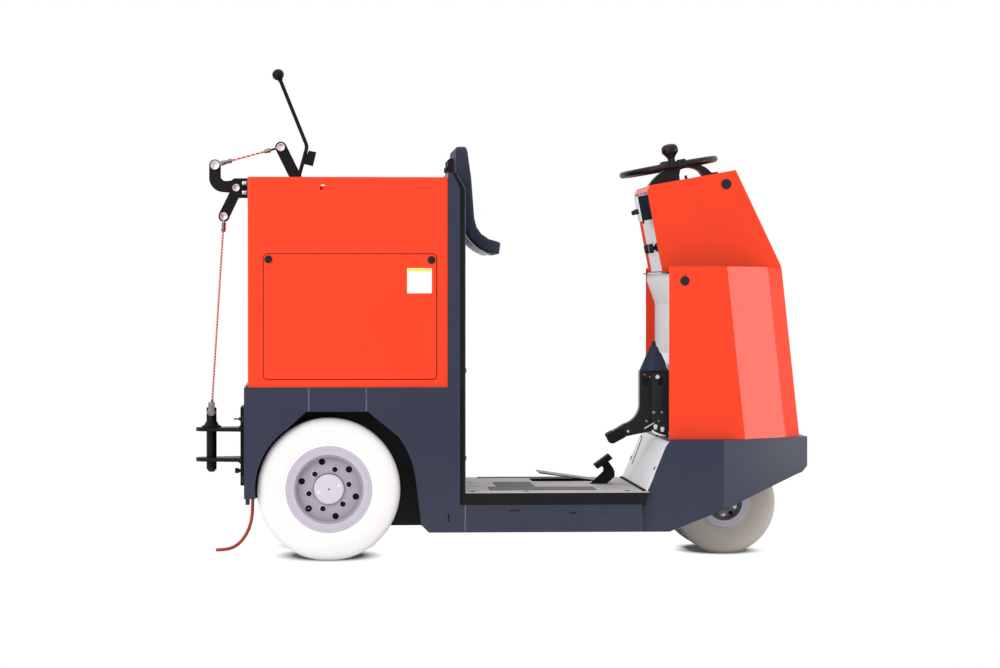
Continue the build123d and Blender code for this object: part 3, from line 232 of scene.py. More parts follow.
def moulded(name, grainScale=900.0, depth=0.00006, variation=0.12):
    made = Finish(name, **finishes[name])
    base = finishes[name]["color"]
    cloud = made.noise(14.0, 4.0)
    mottle = made.ramp(cloud, 0.35, 0.7)
    made.put("Base Color", made.blend(mottle, shade(base, 1 + variation), shade(base, 1 - variation)))
    made.put("Roughness", made.between(finishes[name]["roughness"] - 0.06, finishes[name]["roughness"] + 0.1, cloud))
    made.relief(made.noise(grainScale, 2.0), depth, 0.6)
    return made.material


def fromAxle(made, axle):  # distance from a wheel's axle, seen from the side
    x = made.axis(0) - axle[0]
    z = made.axis(2) - axle[1]
    return (x * x + z * z).power(0.5)


wheelPlaces = {"rear": (-0.526, 0.211), "front": (0.672, 0.155)}
grooving = 700.0


def tyreRubber(name, axle, wearAndShade):  # the tread's radius is the axle's height
    made = Finish(name, **finishes[name])
    base = finishes[name]["color"]
    treadRadius = axle[1]
    radius = fromAxle(made, axle)
    rolled = made.ramp(radius, treadRadius * 0.955, treadRadius * 0.998)
    blotch = made.ramp(made.noise(17.0, 5.0, 0.65), 0.42, 0.66)
    scuff = made.ramp(made.noise(75.0, 4.0, 0.7), 0.5, 0.72)
    tone = made.blend(blotch * 0.4, base, shade(base, 1 - wearAndShade * 0.5))
    tone = made.blend(rolled * (0.3 + scuff * 0.5), tone, shade(base, 1 - wearAndShade * 1.6))
    # the fine ring lines darkened in the outer wall are painted shade in the moulded grooves, scaled with the wear
    grooveShade = made.node("ShaderNodeMath", {"operation": "SINE"}, {0: radius * grooving}) * 0.5 + 0.5
    outerWall = made.ramp(radius, treadRadius * 0.6, treadRadius * 0.72)
    tone = made.blend(grooveShade * outerWall * wearAndShade * 1.6, tone, shade(base, 0.72))
    made.put("Base Color", made.blend(scuff * wearAndShade * 0.6, tone, (0.42, 0.38, 0.33)))
    made.put("Roughness", made.between(0.66, 0.9, blotch))
    rings = made.node("ShaderNodeTexNoise", {"noise_dimensions": "1D"}, {"W": radius * 420.0, "Detail": 2.0})
    made.relief(rings * 0.6 + made.noise(260.0, 4.0, 0.7) * 0.4, 0.0004, 0.5)
    return made.material


# each rim's tone is its disc colour, painted darker than the ring as shade; its rings are dark lines painted as shade
# at the bends
rims = {
    "rearRim": {
        "axle": wheelPlaces["rear"], "disc": 0.0995, "hub": 0.046, "tone": (0.37, 0.345, 0.40),
        "rings": ((0.1008, 0.0009, 0.75), (0.1180, 0.0006, 0.3)),
    },
    "frontRim": {
        "axle": wheelPlaces["front"], "disc": 0.0500, "hub": 0.020, "tone": (0.15, 0.14, 0.155),
        "rings": ((0.0520, 0.0020, 0.9), (0.0640, 0.0006, 0.4)),
    },
}


def wheelPaint(name):  # ring bright; the disc is painted darker outwards as shade from the rim's cone, and thin dark ring lines are painted shade at the rim's bends
    made = Finish(name, **finishes["rimPaint"])
    base = finishes["rimPaint"]["color"]
    rim = rims[name]
    radius = fromAxle(made, rim["axle"])
    dishShade = made.blend(made.ramp(radius, rim["hub"], rim["disc"]), shade(rim["tone"], 1.3), rim["tone"])
    tone = made.blend(made.ramp(radius, rim["disc"] - 0.0006, rim["disc"] + 0.0012), dishShade, base)
    for ring, width, depth in rim["rings"]:
        # each ring line is painted shade at a bend of the rim
        mark = (radius - ring).size() < width
        tone = made.blend(mark * depth, tone, (0.09, 0.08, 0.10))
    dust = made.ramp(made.noise(34.0, 5.0, 0.68), 0.45, 0.75)
    made.put("Base Color", made.blend(dust * 0.14, tone, (0.30, 0.27, 0.27)))
    made.put("Roughness", made.between(0.28, 0.44, dust))
    made.relief(made.noise(260.0, 3.0), 0.00008, 0.5)
    return made.material


def shelfPaint(name, halfWidth):  # light where it meets the panel under the console, black at the sides
    made = Finish(name, **finishes["blackPaint"])
    middle = made.axis(1).size() < halfWidth
    speck = made.noise(300.0, 3.0)
    made.put("Base Color", made.blend(middle, finishes["blackPaint"]["color"], finishes["lightPaint"]["color"]))
    made.put("Roughness", made.between(0.4, 0.5, speck))
    made.relief(speck, 0.00004, 0.4)
    return made.material


housing = {"foot": (0.469, 0.553), "taper": 0.446, "coneReach": 0.0455}


def housingPaint(name):  # slate cone, with its bracket to the panel in the panel's colour
    made = Finish(name, **finishes[name])
    cone = (made.axis(2) - housing["foot"][1]) * housing["taper"] + (made.axis(0) - housing["foot"][0])
    grain = made.noise(500.0, 2.0)
    bracket = finishes["lightPaint"]["color"]
    made.put("Base Color", made.blend(cone > housing["coneReach"], finishes[name]["color"], bracket))
    made.put("Roughness", made.between(0.5, 0.66, grain))
    made.relief(grain, 0.00008, 0.5)
    return made.material


def grit(name):
    made = Finish(name, **finishes[name])
    base = finishes[name]["color"]
    grains = made.noise(950.0, 2.0, 0.6)
    patches = made.ramp(made.noise(30.0, 4.0, 0.65), 0.4, 0.7)
    tone = made.blend(made.ramp(grains, 0.42, 0.62), shade(base, 0.62), shade(base, 1.45))
    made.put("Base Color", made.blend(patches * 0.3, tone, shade(base, 1.7)))
    made.relief(grains, 0.0006, 0.8)
    return made.material


braid = {"pitch": 0.009, "second": (0.85, 0.83, 0.82), "secondFrom": 0.72}


def braided(name):  # two-colour sheath wound round a wire
    made = Finish(name, **finishes[name])
    along = made.axis(0) * 0.35 + made.axis(2)
    turns = along / braid["pitch"]
    part = made.node("ShaderNodeMath", {"operation": "FRACT"}, {0: turns})
    made.put("Base Color", made.blend(part > braid["secondFrom"], finishes[name]["color"], braid["second"]))
    made.relief(made.node("ShaderNodeMath", {"operation": "PINGPONG"}, {0: turns * 4, 1: 0.5}), 0.0003, 0.6)
    return made.material


paints = {
    "orange_paint": painted("orangePaint", grime=0.04),
    "slate_paint": painted("slatePaint", peel=0.00007, peelScale=1100.0),
    "black_paint": painted("blackPaint", peel=0.00006, grime=0.04),
    "light_paint": painted("lightPaint", dusty=(0.5, 0.48, 0.47), grime=0.06),
    "deck_paint": painted("deckPaint", peel=0.0001, peelScale=420.0, grime=0.35),
    "rim_paint": painted("rimPaint", peel=0.00008, peelScale=320.0, grime=0.25, dusty=(0.24, 0.22, 0.22)),
    "pale_tyre": tyreRubber("paleTyre", wheelPlaces["rear"], wearAndShade=0.05),
    "tan_tyre": tyreRubber("tanTyre", wheelPlaces["front"], wearAndShade=0.26),
    "black_rubber": moulded("blackRubber", 600.0, 0.0001),
    "slate_foam": moulded("slateFoam", 1400.0, 0.00012, 0.08),
    "black_plastic": moulded("blackPlastic"),
    "bright_steel": steel("brightSteel"),
    "dark_iron": moulded("darkIron", 220.0, 0.0004, 0.2),
    "battery_case": moulded("batteryCase"),
    "strap_red": moulded("strapRed", 1500.0, 0.0002, 0.25),
}
extras = {
    "bareLabel": moulded("bareLabel", 400.0, 0.00002, 0.02),
    "amberBand": moulded("amberBand", 400.0, 0.00002, 0.03),
    "gritPad": grit("gritPad"),
    "whiteNylon": moulded("whiteNylon", 500.0, 0.00003, 0.05),
    "signalRed": moulded("signalRed", 500.0, 0.00003, 0.08),
    "graphite": moulded("graphite", 700.0, 0.00006, 0.15),
    "plugGrey": moulded("plugGrey", 700.0, 0.00005, 0.1),
    "housingSlate": housingPaint("slateFoam"),
    "palePlate": moulded("lightPaint", 300.0, 0.00003, 0.03),
    "hubPaint": painted("hubPaint", peel=0.00005, grime=0.05),
    "seamBrown": moulded("seamBrown"),
    "weldSlate": moulded("weldSlate", 300.0, 0.0002, 0.2),
    "brass": steel("brass"),
    "dullSteel": steel("dullSteel"),
    "boxSlate": moulded("boxSlate", 400.0, 0.00004, 0.05),
    "blackSteel": moulded("blackSteel", 500.0, 0.00008, 0.15),
    "sheath": braided("strapRed"),
    "rearRim": wheelPaint("rearRim"),
    "frontRim": wheelPaint("frontRim"),
    "shelf": shelfPaint("shelfBlack", 0.186),
}
print("materials made:", len(paints) + len(extras))

slotOf = {row["node"]: row["material_slot"] for row in frame["record"]["subparts"]}
for name, piece in nodes.items():
    piece.data.materials.clear()
    piece.data.materials.append(paints[slotOf[name]])
better = {
    "tread_pads": "gritPad", "rear_rim_right": "rearRim", "rear_rim_left": "rearRim", "front_rims": "frontRim",
    "console_shelf": "shelf", "pad_clamps": "plugGrey", "pedal_housing": "housingSlate", "pad_plate": "palePlate",
}
for name, finish in better.items():
    nodes[name].data.materials[0] = extras[finish]


def clearSelection():
    if bpy.context.object and bpy.context.object.mode != "OBJECT":
        bpy.ops.object.mode_set(mode="OBJECT")
    bpy.ops.object.select_all(action="DESELECT")


def choose(piece):
    clearSelection()
    piece.select_set(True)
    bpy.context.view_layer.objects.active = piece


def at(x, y, z):  # millimetres of the part's own frame
    return Vector((x, y, z)) / 1000


def startPiece(shape, name, **settings):
    clearSelection()
    getattr(bpy.ops.mesh, f"primitive_{shape}_add")(**settings)
    piece = bpy.context.object
    piece.name = name
    piece.data.name = name
    return piece


def pick(piece, part, test):  # select faces, edges or vertices by a test, and enter edit mode
    bpy.ops.object.mode_set(mode="OBJECT")
    mesh = piece.data
    for group in (mesh.vertices, mesh.edges, mesh.polygons):
        group.foreach_set("select", [False] * len(group))
    modes = {"verts": (True, False, False), "edges": (False, True, False), "faces": (False, False, True)}
    bpy.context.tool_settings.mesh_select_mode = modes[part]
    group = {"verts": mesh.vertices, "edges": mesh.edges, "faces": mesh.polygons}[part]
    for item in group:
        item.select = bool(test(item))
    bpy.ops.object.mode_set(mode="EDIT")


def settle(piece):  # leave edit mode with the place in the mesh
    if bpy.context.object and bpy.context.object.mode != "OBJECT":
        bpy.ops.object.mode_set(mode="OBJECT")
    choose(piece)
    bpy.ops.object.transform_apply(location=True, rotation=True, scale=True)


def modify(piece, kind, **settings):
    settle(piece)
    change = piece.modifiers.new(kind.title(), kind)
    for key, value in settings.items():
        setattr(change, key, value)
    bpy.ops.object.modifier_apply(modifier=change.name)


def softenEdges(piece, width, segments=2, angle=30.0):
    modify(piece, "BEVEL", width=width, segments=segments, limit_method="ANGLE", angle_limit=math.radians(angle))


def ripple(piece, name, scale, strength, middle):
    clouds = bpy.data.textures.new(name, "CLOUDS")
    clouds.noise_scale = scale
    modify(piece, "DISPLACE", texture=clouds, strength=strength, mid_level=middle, texture_coords="LOCAL")


def smooth(piece, angle):
    settle(piece)
    bpy.ops.object.shade_smooth_by_angle(angle=math.radians(angle))


def outward(piece):
    settle(piece)
    bpy.ops.object.mode_set(mode="EDIT")
    bpy.ops.mesh.select_all(action="SELECT")
    bpy.ops.mesh.remove_doubles(threshold=0.00002)
    bpy.ops.mesh.normals_make_consistent(inside=False)
    bpy.ops.object.mode_set(mode="OBJECT")


def ready(piece, paint, body="chassis", instead=(), angle=35.0, slot=None):
    smooth(piece, angle)
    piece.data.materials.clear()
    piece.data.materials.append(paints[paint] if paint in paints else extras[paint])
    slot or (paint if paint in paints else "black_plastic")
    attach(piece, body)
    if instead:
        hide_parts(*instead)
    return piece


def turnTo(direction):
    return Vector(direction).to_track_quat("Z", "Y").to_euler()


def joinAll(name, parts):
    clearSelection()
    for part in parts:
        part.select_set(True)
    bpy.context.view_layer.objects.active = parts[0]
    if len(parts) > 1:
        bpy.ops.object.join()
    parts[0].name = name
    parts[0].data.name = name
    return parts[0]


def spread(name, piece, places):  # one modelled piece, copied with its own mesh to each place
    parts = [piece]
    for _ in places[1:]:
        part = piece.copy()
        part.data = piece.data.copy()
        bpy.context.collection.objects.link(part)
        parts.append(part)
    for part, place in zip(parts, places):
        part.location = place
        settle(part)
    return joinAll(name, parts)


def boltHead(name, place, direction, across, height, washer=1.35):
    along = Vector(direction).normalized()
    head = startPiece(
        "cylinder", name, vertices=6, radius=across / 2, depth=height,
        location=Vector(place) + along * (height / 2 + 0.0012), rotation=turnTo(direction),
    )
    softenEdges(head, across * 0.06)
    plate = startPiece(
        "cylinder", name + "Washer", vertices=28, radius=across / 2 * washer, depth=0.0016,
        location=Vector(place) + along * 0.0006, rotation=turnTo(direction),
    )
    softenEdges(plate, 0.0003)
    return joinAll(name, [head, plate])


def turnedPiece(name, foot, direction, steps, sides=40, bevel=0.0):
    # steps are (radius, height) in millimetres from the foot up; each ring is inset from the one before it
    start, rest = steps[0], steps[1:]
    piece = startPiece(
        "cylinder", name, vertices=sides, radius=start[0] / 1000, depth=start[1] / 1000,
        location=(0, 0, start[1] / 2000),
    )
    settle(piece)
    radius, height = start
    for nextRadius, nextHeight in rest:
        top = max(vertex.co.z for vertex in piece.data.vertices)
        pick(piece, "faces", lambda face: face.normal.z > 0.9 and face.center.z > top - 1e-6 and len(face.vertices) > 4)
        bpy.ops.mesh.inset(thickness=max(radius - nextRadius, 0.01) / 1000, depth=(nextHeight - height) / 1000)
        settle(piece)
        radius, height = nextRadius, nextHeight
    if bevel:
        softenEdges(piece, bevel / 1000, 2, 40.0)
    piece.rotation_euler = turnTo(direction)
    piece.location = foot
    settle(piece)
    return piece


def fromCurve(name, shape):
    piece = bpy.data.objects.new(name, shape)
    bpy.context.collection.objects.link(piece)
    choose(piece)
    bpy.ops.object.convert(target="MESH")
    return bpy.context.object


def outlinePiece(name, outlines, y, depth, bevel=0.0, steps=3):
    # closed outlines of (x, z) in millimetres; a second one inside the first is a hole
    shape = bpy.data.curves.new(name, "CURVE")
    shape.dimensions = "2D"
    shape.fill_mode = "BOTH"
    for outline in outlines:
        line = shape.splines.new("POLY")
        line.points.add(len(outline) - 1)
        for point, (x, z) in zip(line.points, outline):
            point.co = (x / 1000, z / 1000, 0, 1)
        line.use_cyclic_u = True
    shape.extrude = max(depth / 2 - bevel, 0) / 1000
    shape.bevel_depth = bevel / 1000
    shape.bevel_resolution = steps
    shape.offset = -bevel / 1000
    piece = fromCurve(name, shape)
    piece.rotation_euler = (math.pi / 2, 0, 0)
    piece.location = (0, y / 1000, 0)
    outward(piece)
    return piece


def roundedRectangle(low, high, radius, steps=5):
    corners = (
        (high[0] - radius, high[1] - radius, 0), (low[0] + radius, high[1] - radius, 90),
        (low[0] + radius, low[1] + radius, 180), (high[0] - radius, low[1] + radius, 270),
    )
    turns = [(x, z, math.radians(turn + 90 * i / steps)) for x, z, turn in corners for i in range(steps + 1)]
    return [(x + radius * math.cos(turn), z + radius * math.sin(turn)) for x, z, turn in turns]


def circle(centre, radius, points):
    turns = [math.tau * i / points for i in range(points)]
    return [(centre[0] + radius * math.cos(turn), centre[1] + radius * math.sin(turn)) for turn in turns]


def rodPiece(name, route, radius, sides=5):  # a bent bar through points in millimetres
    shape = bpy.data.curves.new(name, "CURVE")
    shape.dimensions = "3D"
    line = shape.splines.new("POLY")
    line.points.add(len(route) - 1)
    for point, place in zip(line.points, route):
        point.co = (*at(*place), 1)
    shape.bevel_depth = radius / 1000
    shape.bevel_resolution = sides
    shape.use_fill_caps = True
    piece = fromCurve(name, shape)
    outward(piece)
    return piece


def blockPiece(name, low, high, bevel=1.0, turn=0.0):
    # a softened block between two corners in millimetres, turned about Y by degrees round its middle
    middle = [(a + b) / 2 for a, b in zip(low, high)]
    piece = startPiece("cube", name, size=1, location=at(*middle))
    piece.scale = [(b - a) / 1000 for a, b in zip(low, high)]
    piece.rotation_euler = (0, math.radians(turn), 0)
    settle(piece)
    softenEdges(piece, bevel / 1000)
    return piece


def onWheel(centre, radius, angle, y):
    turn = math.radians(angle)
    return at(centre[0] + radius * math.cos(turn), y, centre[1] + radius * math.sin(turn))


sidesOf = (("right", -1), ("left", 1))
print("helpers ready")

# rear and front tyres: moulded walls with a bead lip, round shoulders and a plain tread
tyres = {
    "rear": {
        "centre": (-526, 211), "track": 332, "sides": 160, "bore": 101.9, "startHalf": 31.0, "tread": 211.0,
        "paint": "pale_tyre", "body": "{}_rear_wheel",
        "replaces": {"right": ("rear_tyre_right",), "left": ("rear_tyre_left",)},
        "wall": (
            (209.6, 37.0), (206.6, 42.0), (202.0, 46.2), (196.0, 49.2), (188.0, 51.0), (178.0, 52.1), (169.0, 52.5),
            (158.0, 51.9), (146.0, 50.2), (136.0, 47.8), (130.0, 45.6), (128.6, 46.6), (127.2, 46.4), (126.9, 43.0),
        ),
    },
    "front": {
        "centre": (672, 155), "track": 134, "sides": 128, "bore": 53.4, "startHalf": 31.0, "tread": 155.0,
        "paint": "tan_tyre", "body": "front_wheels", "replaces": {"right": ("front_tyres",), "left": ()},
        "wall": (
            (153.8, 36.5), (151.2, 41.5), (147.2, 45.6), (142.0, 48.6), (135.0, 50.6), (126.0, 51.7), (116.0, 52.0),
            (104.0, 51.0), (92.0, 48.6), (83.0, 46.0), (78.0, 44.2), (76.4, 45.2), (75.0, 45.0), (74.5, 42.4),
        ),
    },
}


def tyrePiece(name, sizes, side):
    x, z = sizes["centre"]
    tyre = startPiece(
        "cylinder", name, vertices=sizes["sides"], radius=sizes["tread"] / 1000, depth=sizes["startHalf"] / 500,
        location=at(x, side * sizes["track"], z), rotation=(math.pi / 2, 0, 0),
    )
    settle(tyre)
    caps = lambda face: abs(face.normal.y) > 0.9 and len(face.vertices) > 6
    radius, half = sizes["tread"], sizes["startHalf"]
    for nextRadius, nextHalf in (*sizes["wall"], (sizes["bore"], sizes["wall"][-1][1])):
        pick(tyre, "faces", caps)
        bpy.ops.mesh.inset(thickness=(radius - nextRadius) / 1000, depth=(nextHalf - half) / 1000, use_boundary=True)
        settle(tyre)
        radius, half = nextRadius, nextHalf
    pick(tyre, "faces", caps)
    bpy.ops.mesh.bridge_edge_loops()
    outward(tyre)
    softenEdges(tyre, 0.0015, 2, 20.0)
    return tyre


for end, sizes in tyres.items():
    for sideName, side in sidesOf:
        tyre = tyrePiece(f"{end}Tyre{sideName.title()}", sizes, side)
        ready(tyre, sizes["paint"], sizes["body"].format(sideName), sizes["replaces"][sideName], 50.0)
print("tyres made")

# what the wheels carry: nuts, caps with their centre mark, valve, and the dark rings and discs between the parts, which
# are painted shade in the gaps, behind the rear rims' holes and in the front rims' holes
wheelTrim = {
    "rear": {
        "turned": (  # name, distance from the axle, turns, face, steps, sides, paint and slot
            ("nutSeats", 60.4, range(13, 360, 60), 350.0, ((11.3, 1.2), (10.4, 3.2), (9.6, 3.2), (9.0, 2.0)), 36,
             "whiteNylon", "rim_paint"),
            ("hubCap", 0, (0,), 361.05, ((44.0, 1.2), (42.6, 2.4), (39.0, 3.0), (20.0, 3.3), (4.2, 3.3)), 72,
             "hubPaint", "rim_paint"),
            ("hubDots", 31.5, (17.7, 197.7), 364.0, ((5.2, 0.8), (4.2, 1.8), (2.6, 2.1)), 28,
             "whiteNylon", "rim_paint"),
            ("hubCentre", 0, (0,), 364.15, ((2.6, 0.5), (1.4, 0.9)), 20, "graphite", "black_plastic"),
            ("tyreValve", 82.8, (224,), 341.0, ((3.4, 5.0), (2.6, 8.0), (2.0, 10.0)), 18, "brass", "bright_steel"),
        ),
        "rings": (  # name, outer and inner radius, points, middle, depth and edge
            # first ring: dark sheet painted as shade behind the rim's holes; second: painted shade in the gap round the
            # cap
            ("holeBacking", (96.5, 69.5), 64, 339.0, 1.6, 0.3, 1), ("hubSeam", (46.3, 45.1), 64, 352.6, 1.2, 0.0, 3),
        ),
        "nuts": ("wheelNuts", 60.4, range(13, 360, 60), 350.0, "graphite"),
    },
    "front": {
        "turned": (
            # first row: dark cups painted as shade in the rim's holes
            ("frontHoles", 38.5, range(232, 592, 72), 155.0, ((6.6, 0.5), (5.8, 0.9), (5.0, 0.3)), 28,
             "graphite", "black_plastic"),
            ("greaseCap", 0, (0,), 157.1, ((24.5, 3.0), (22.0, 8.0), (19.5, 11.0), (18.0, 12.4), (8.0, 12.8)), 48,
             "plugGrey", "rim_paint"),
        ),
        # dark ring painted as shade in the step at the disc's edge
        "rings": (("rimSeat", (52.3, 47.4), 72, 155.7, 1.2, 0.0, 3),),
        "nuts": ("frontNuts", 38.5, range(268, 628, 72), 155.0, "bright_steel"),
    },
}
rearNut = {"radius": 0.0087, "depth": 0.006, "lift": 0.0045, "edge": 0.0007, "stud": ((4.6, 8.2), (3.6, 9.4))}
frontNut = (0.0105, 0.005)  # size across and height


def wheelNut(end, out):
    if end == "front":
        return boltHead("frontNut", (0, 0, 0), out, *frontNut)
    nut = startPiece(
        "cylinder", "wheelNut", vertices=6, radius=rearNut["radius"], depth=rearNut["depth"],
        location=Vector(out) * rearNut["lift"], rotation=turnTo(out),
    )
    softenEdges(nut, rearNut["edge"])
    return joinAll("wheelNut", [nut, turnedPiece("wheelStud", (0, 0, 0), out, rearNut["stud"], 20)])


for end, trim in wheelTrim.items():
    for sideName, side in sidesOf:
        body, centre = tyres[end]["body"].format(sideName), tyres[end]["centre"]
        which, out = sideName.title(), (0, side, 0)
        for name, radius, turns, face, steps, sides, paint, slot in trim["turned"]:
            places = [onWheel(centre, radius, turn, side * face) for turn in turns]
            piece = turnedPiece(name, (0, 0, 0), out, steps, sides)
            ready(spread(name + which, piece, places), paint, body, slot=slot)
        for name, radii, points, middle, depth, edge, steps in trim["rings"]:
            rings = [circle(centre, radius, points) for radius in radii]
            ready(outlinePiece(name + which, rings, side * middle, depth, edge, steps), "graphite", body)
        name, radius, turns, face, paint = trim["nuts"]
        places = [onWheel(centre, radius, turn, side * face) for turn in turns]
        ready(spread(name + which, wheelNut(end, out), places), paint, body)
print("wheels dressed")

# service covers: a dark frame round each as painted shade in the gap, two round locks, and the blank label on the right
# one
coverTrim = {
    "low": (-717, 537), "high": (-210, 904), "corner": 10, "face": 399.0,
    "seamInner": 0.35, "seamOuter": 2.25, "seamFace": 395.35, "seamDepth": 0.5,
    "locks": ((-703, 889), (-224, 887)), "keySlot": (0.0085, 0.0008, 0.0017), "keyFace": 402.3, "keyTurn": 35,
    "lock": ((11.6, 1.2), (10.9, 2.6), (8.6, 3.4), (7.6, 2.6), (5.2, 2.6), (4.6, 3.2)),
}
for sideName, side in sidesOf:
    (lowX, lowZ), (highX, highZ) = coverTrim["low"], coverTrim["high"]
    frames = [
        roundedRectangle((lowX - grow, lowZ - grow), (highX + grow, highZ + grow), coverTrim["corner"] + grow)
        for grow in (coverTrim["seamOuter"], coverTrim["seamInner"])
    ]
    seam = outlinePiece(
        f"coverGapShade{sideName.title()}", frames, side * coverTrim["seamFace"], coverTrim["seamDepth"],
    )
    # the thin dark frame round each cover is painted shade in the gap between cover and box
    ready(seam, "seamBrown", "chassis", slot="black_rubber")
    for number, (x, z) in enumerate(coverTrim["locks"]):
        name = f"coverLock{sideName.title()}{number}"
        lock = turnedPiece(name, at(x, side * coverTrim["face"], z), (0, side, 0), coverTrim["lock"], 40)
        keySlot = startPiece("cube", "lockSlot", size=1, location=at(x, side * coverTrim["keyFace"], z))
        keySlot.scale = coverTrim["keySlot"]
        keySlot.rotation_euler = (0, math.radians(coverTrim["keyTurn"]), 0)
        softenEdges(keySlot, 0.0003, 1)
        ready(joinAll(name, [lock, keySlot]), "black_plastic", f"{sideName}_cover")

label = {
    "low": (-296, 789), "high": (-223, 863), "corner": 3, "face": -399.0, "thick": 0.5,
    "band": 9.5, "margin": 2, "bandCorner": 1.5, "bandThick": 0.24,
}
bare = outlinePiece(
    "blankLabel", [roundedRectangle(label["low"], label["high"], label["corner"])],
    label["face"] - label["thick"] / 2, label["thick"], 0.12, 1,
)
ready(bare, "bareLabel", "right_cover", slot="light_paint")
bandLow = (label["low"][0] + label["margin"], label["high"][1] - label["band"])
bandHigh = (label["high"][0] - label["margin"], label["high"][1] - label["margin"])
band = outlinePiece(
    "labelBand", [roundedRectangle(bandLow, bandHigh, label["bandCorner"])],
    label["face"] - label["thick"] - label["bandThick"] / 2, label["bandThick"],
)
ready(band, "amberBand", "right_cover", slot="light_paint")
print("covers dressed")

# welds, lighter as a painted highlight, and pressed marks on the side frames
frameMarks = {
    "face": 400.0, "welds": ((-585, 443, 511), (-416, 443, 511), (-124.8, 86, 163)), "bead": (0.0042, 0.0014),
    "ripple": (0.006, 0.0032, 0.5),
    "slots": ((-174, 115, 140, 4.4), (20, 146.4, 149.6, 30.0), (194, 139.5, 142.5, 22.0)),
}
for sideName, side in sidesOf:
    beads = []
    for x, low, high in frameMarks["welds"]:
        middle = at(x, side * frameMarks["face"], (low + high) / 2)
        bead = startPiece("cylinder", "weldBead", vertices=10, radius=0.5, depth=1, location=middle)
        bead.scale = (*frameMarks["bead"], (high - low) / 1000)
        settle(bead)
        bpy.ops.object.mode_set(mode="EDIT")
        bpy.ops.mesh.select_all(action="SELECT")
        bpy.ops.mesh.subdivide(number_cuts=18)
        settle(bead)
        ripple(bead, "weldRipple", *frameMarks["ripple"])
        beads.append(bead)
    # the weld beads are painted lighter slate as a painted highlight
    ready(joinAll(f"frameWelds{sideName.title()}", beads), "weldSlate", "chassis", slot="slate_paint")
    marks = []
    for x, low, high, wide in frameMarks["slots"]:
        outline = roundedRectangle((x - wide / 2, low), (x + wide / 2, high), min(wide, high - low) / 2.1)
        marks.append(outlinePiece("frameSlot", [outline], side * (frameMarks["face"] + 0.15), 0.7))
    ready(joinAll(f"frameSlots{sideName.title()}", marks), "graphite", "chassis", slot="black_rubber")
print("side frames dressed")

# tow pin: shank, coned flange and slotted head, with the eye bolt and cable fitting on it
towPin = {
    "x": -881, "eye": 426, "shankTop": 382, "shank": ((15.5, 128.0), (8.5, 137.5), (5.5, 138.0)),
    "flangeFoot": 380.5, "flange": ((29.4, 4.4), (23.0, 6.6), (16.4, 17.5), (15.6, 19.0)),
    "headFoot": 385, "head": ((15.4, 54.0), (14.4, 55.6)), "slot": ((-905, -8.1, 399.4), (-857, 0.9, 450)),
    "clevisY": -12, "clevis": ((4.0, 23.0), (3.4, 24.0)),
    "boltY": -17.5, "bolt": (
        (11.7, 1.4), (11.0, 2.2), (8.8, 2.6), (8.2, 1.8), (6.8, 1.8), (6.2, 3.8), (4.6, 5.2), (2.4, 5.7),
    ),
    "forkFace": ((-891, 457), (-870.6, 457), (-870.6, 430), (-891.4, 430)),
    "forkPlace": (-16.1, 2.6, 0.7, 2), "forkTop": ((-890.6, -17.2, 443.5), (-871, 7, 457.0)),
    "ferruleAt": (-879.0, -3.6, 457.0), "ferruleAim": (0.0643, 0, 0.998), "ferrule": ((4.2, 5.0), (3.0, 10.0)),
}
pinX, pinEye = towPin["x"], towPin["eye"]
pinShank = turnedPiece("towPinShank", at(pinX, 0, towPin["shankTop"]), (0, 0, -1), towPin["shank"], 48)
pinFlange = turnedPiece("towPinFlange", at(pinX, 0, towPin["flangeFoot"]), (0, 0, 1), towPin["flange"], 56, 0.4)
pinHead = turnedPiece("towPinHead", at(pinX, 0, towPin["headFoot"]), (0, 0, 1), towPin["head"], 48)
slotCut = blockPiece("towPinSlot", *towPin["slot"], 0.5)
modify(pinHead, "BOOLEAN", object=slotCut, operation="DIFFERENCE", solver="EXACT")
bpy.data.objects.remove(slotCut, do_unlink=True)
clevisPin = turnedPiece("towPinEye", at(pinX, towPin["clevisY"], pinEye), (0, 1, 0), towPin["clevis"], 28)
ready(joinAll("towPin", [pinShank, pinFlange, pinHead, clevisPin]), "black_paint", "tow_pin", ("hitch_pin",))
eye = turnedPiece("pinEyeBolt", at(pinX, towPin["boltY"], pinEye), (0, -1, 0), towPin["bolt"], 44)
ready(eye, "dullSteel", "tow_pin", slot="bright_steel")
forkFace = outlinePiece("cableFork", [towPin["forkFace"]], *towPin["forkPlace"])
forkTop = blockPiece("cableForkTop", *towPin["forkTop"], 1.6)
ready(joinAll("cableFork", [forkFace, forkTop]), "dullSteel", "drop_link", slot="bright_steel")
ferrule = turnedPiece("cableFerrule", at(*towPin["ferruleAt"]), towPin["ferruleAim"], towPin["ferrule"], 24)
ready(ferrule, "strap_red", "drop_link")

# hitch plate: its face, one bolt on a spacer and a parking stud
hitchPlate = {
    "plate": ((-791, -114, 208), (-785.5, 114, 444)),
    "boltAt": (-791, -52, 250), "headAt": (-797, -52, 250), "headSize": (0.0165, 0.0105, 1.0),
    "spacer": ((5.2, 7.0), (4.4, 8.0)),
    "studAt": (-791, -20, 406), "stud": ((5.8, 3.5), (5.0, 6.0), (2.3, 6.6), (2.2, 21.0), (1.4, 22.0)),
}
ready(blockPiece("hitchFacePlate", *hitchPlate["plate"], 1.2), "black_paint")
plateBolt = boltHead("hitchBolt", at(*hitchPlate["headAt"]), (-1, 0, 0), *hitchPlate["headSize"])
spacer = turnedPiece("hitchShank", at(*hitchPlate["boltAt"]), (-1, 0, 0), hitchPlate["spacer"], 24)
ready(joinAll("hitchBolt", [plateBolt, spacer]), "blackSteel", slot="black_paint")
stud = turnedPiece("parkingStud", at(*hitchPlate["studAt"]), (-1, 0, 0), hitchPlate["stud"], 20)
ready(stud, "blackSteel", slot="black_paint")
print("hitch dressed")

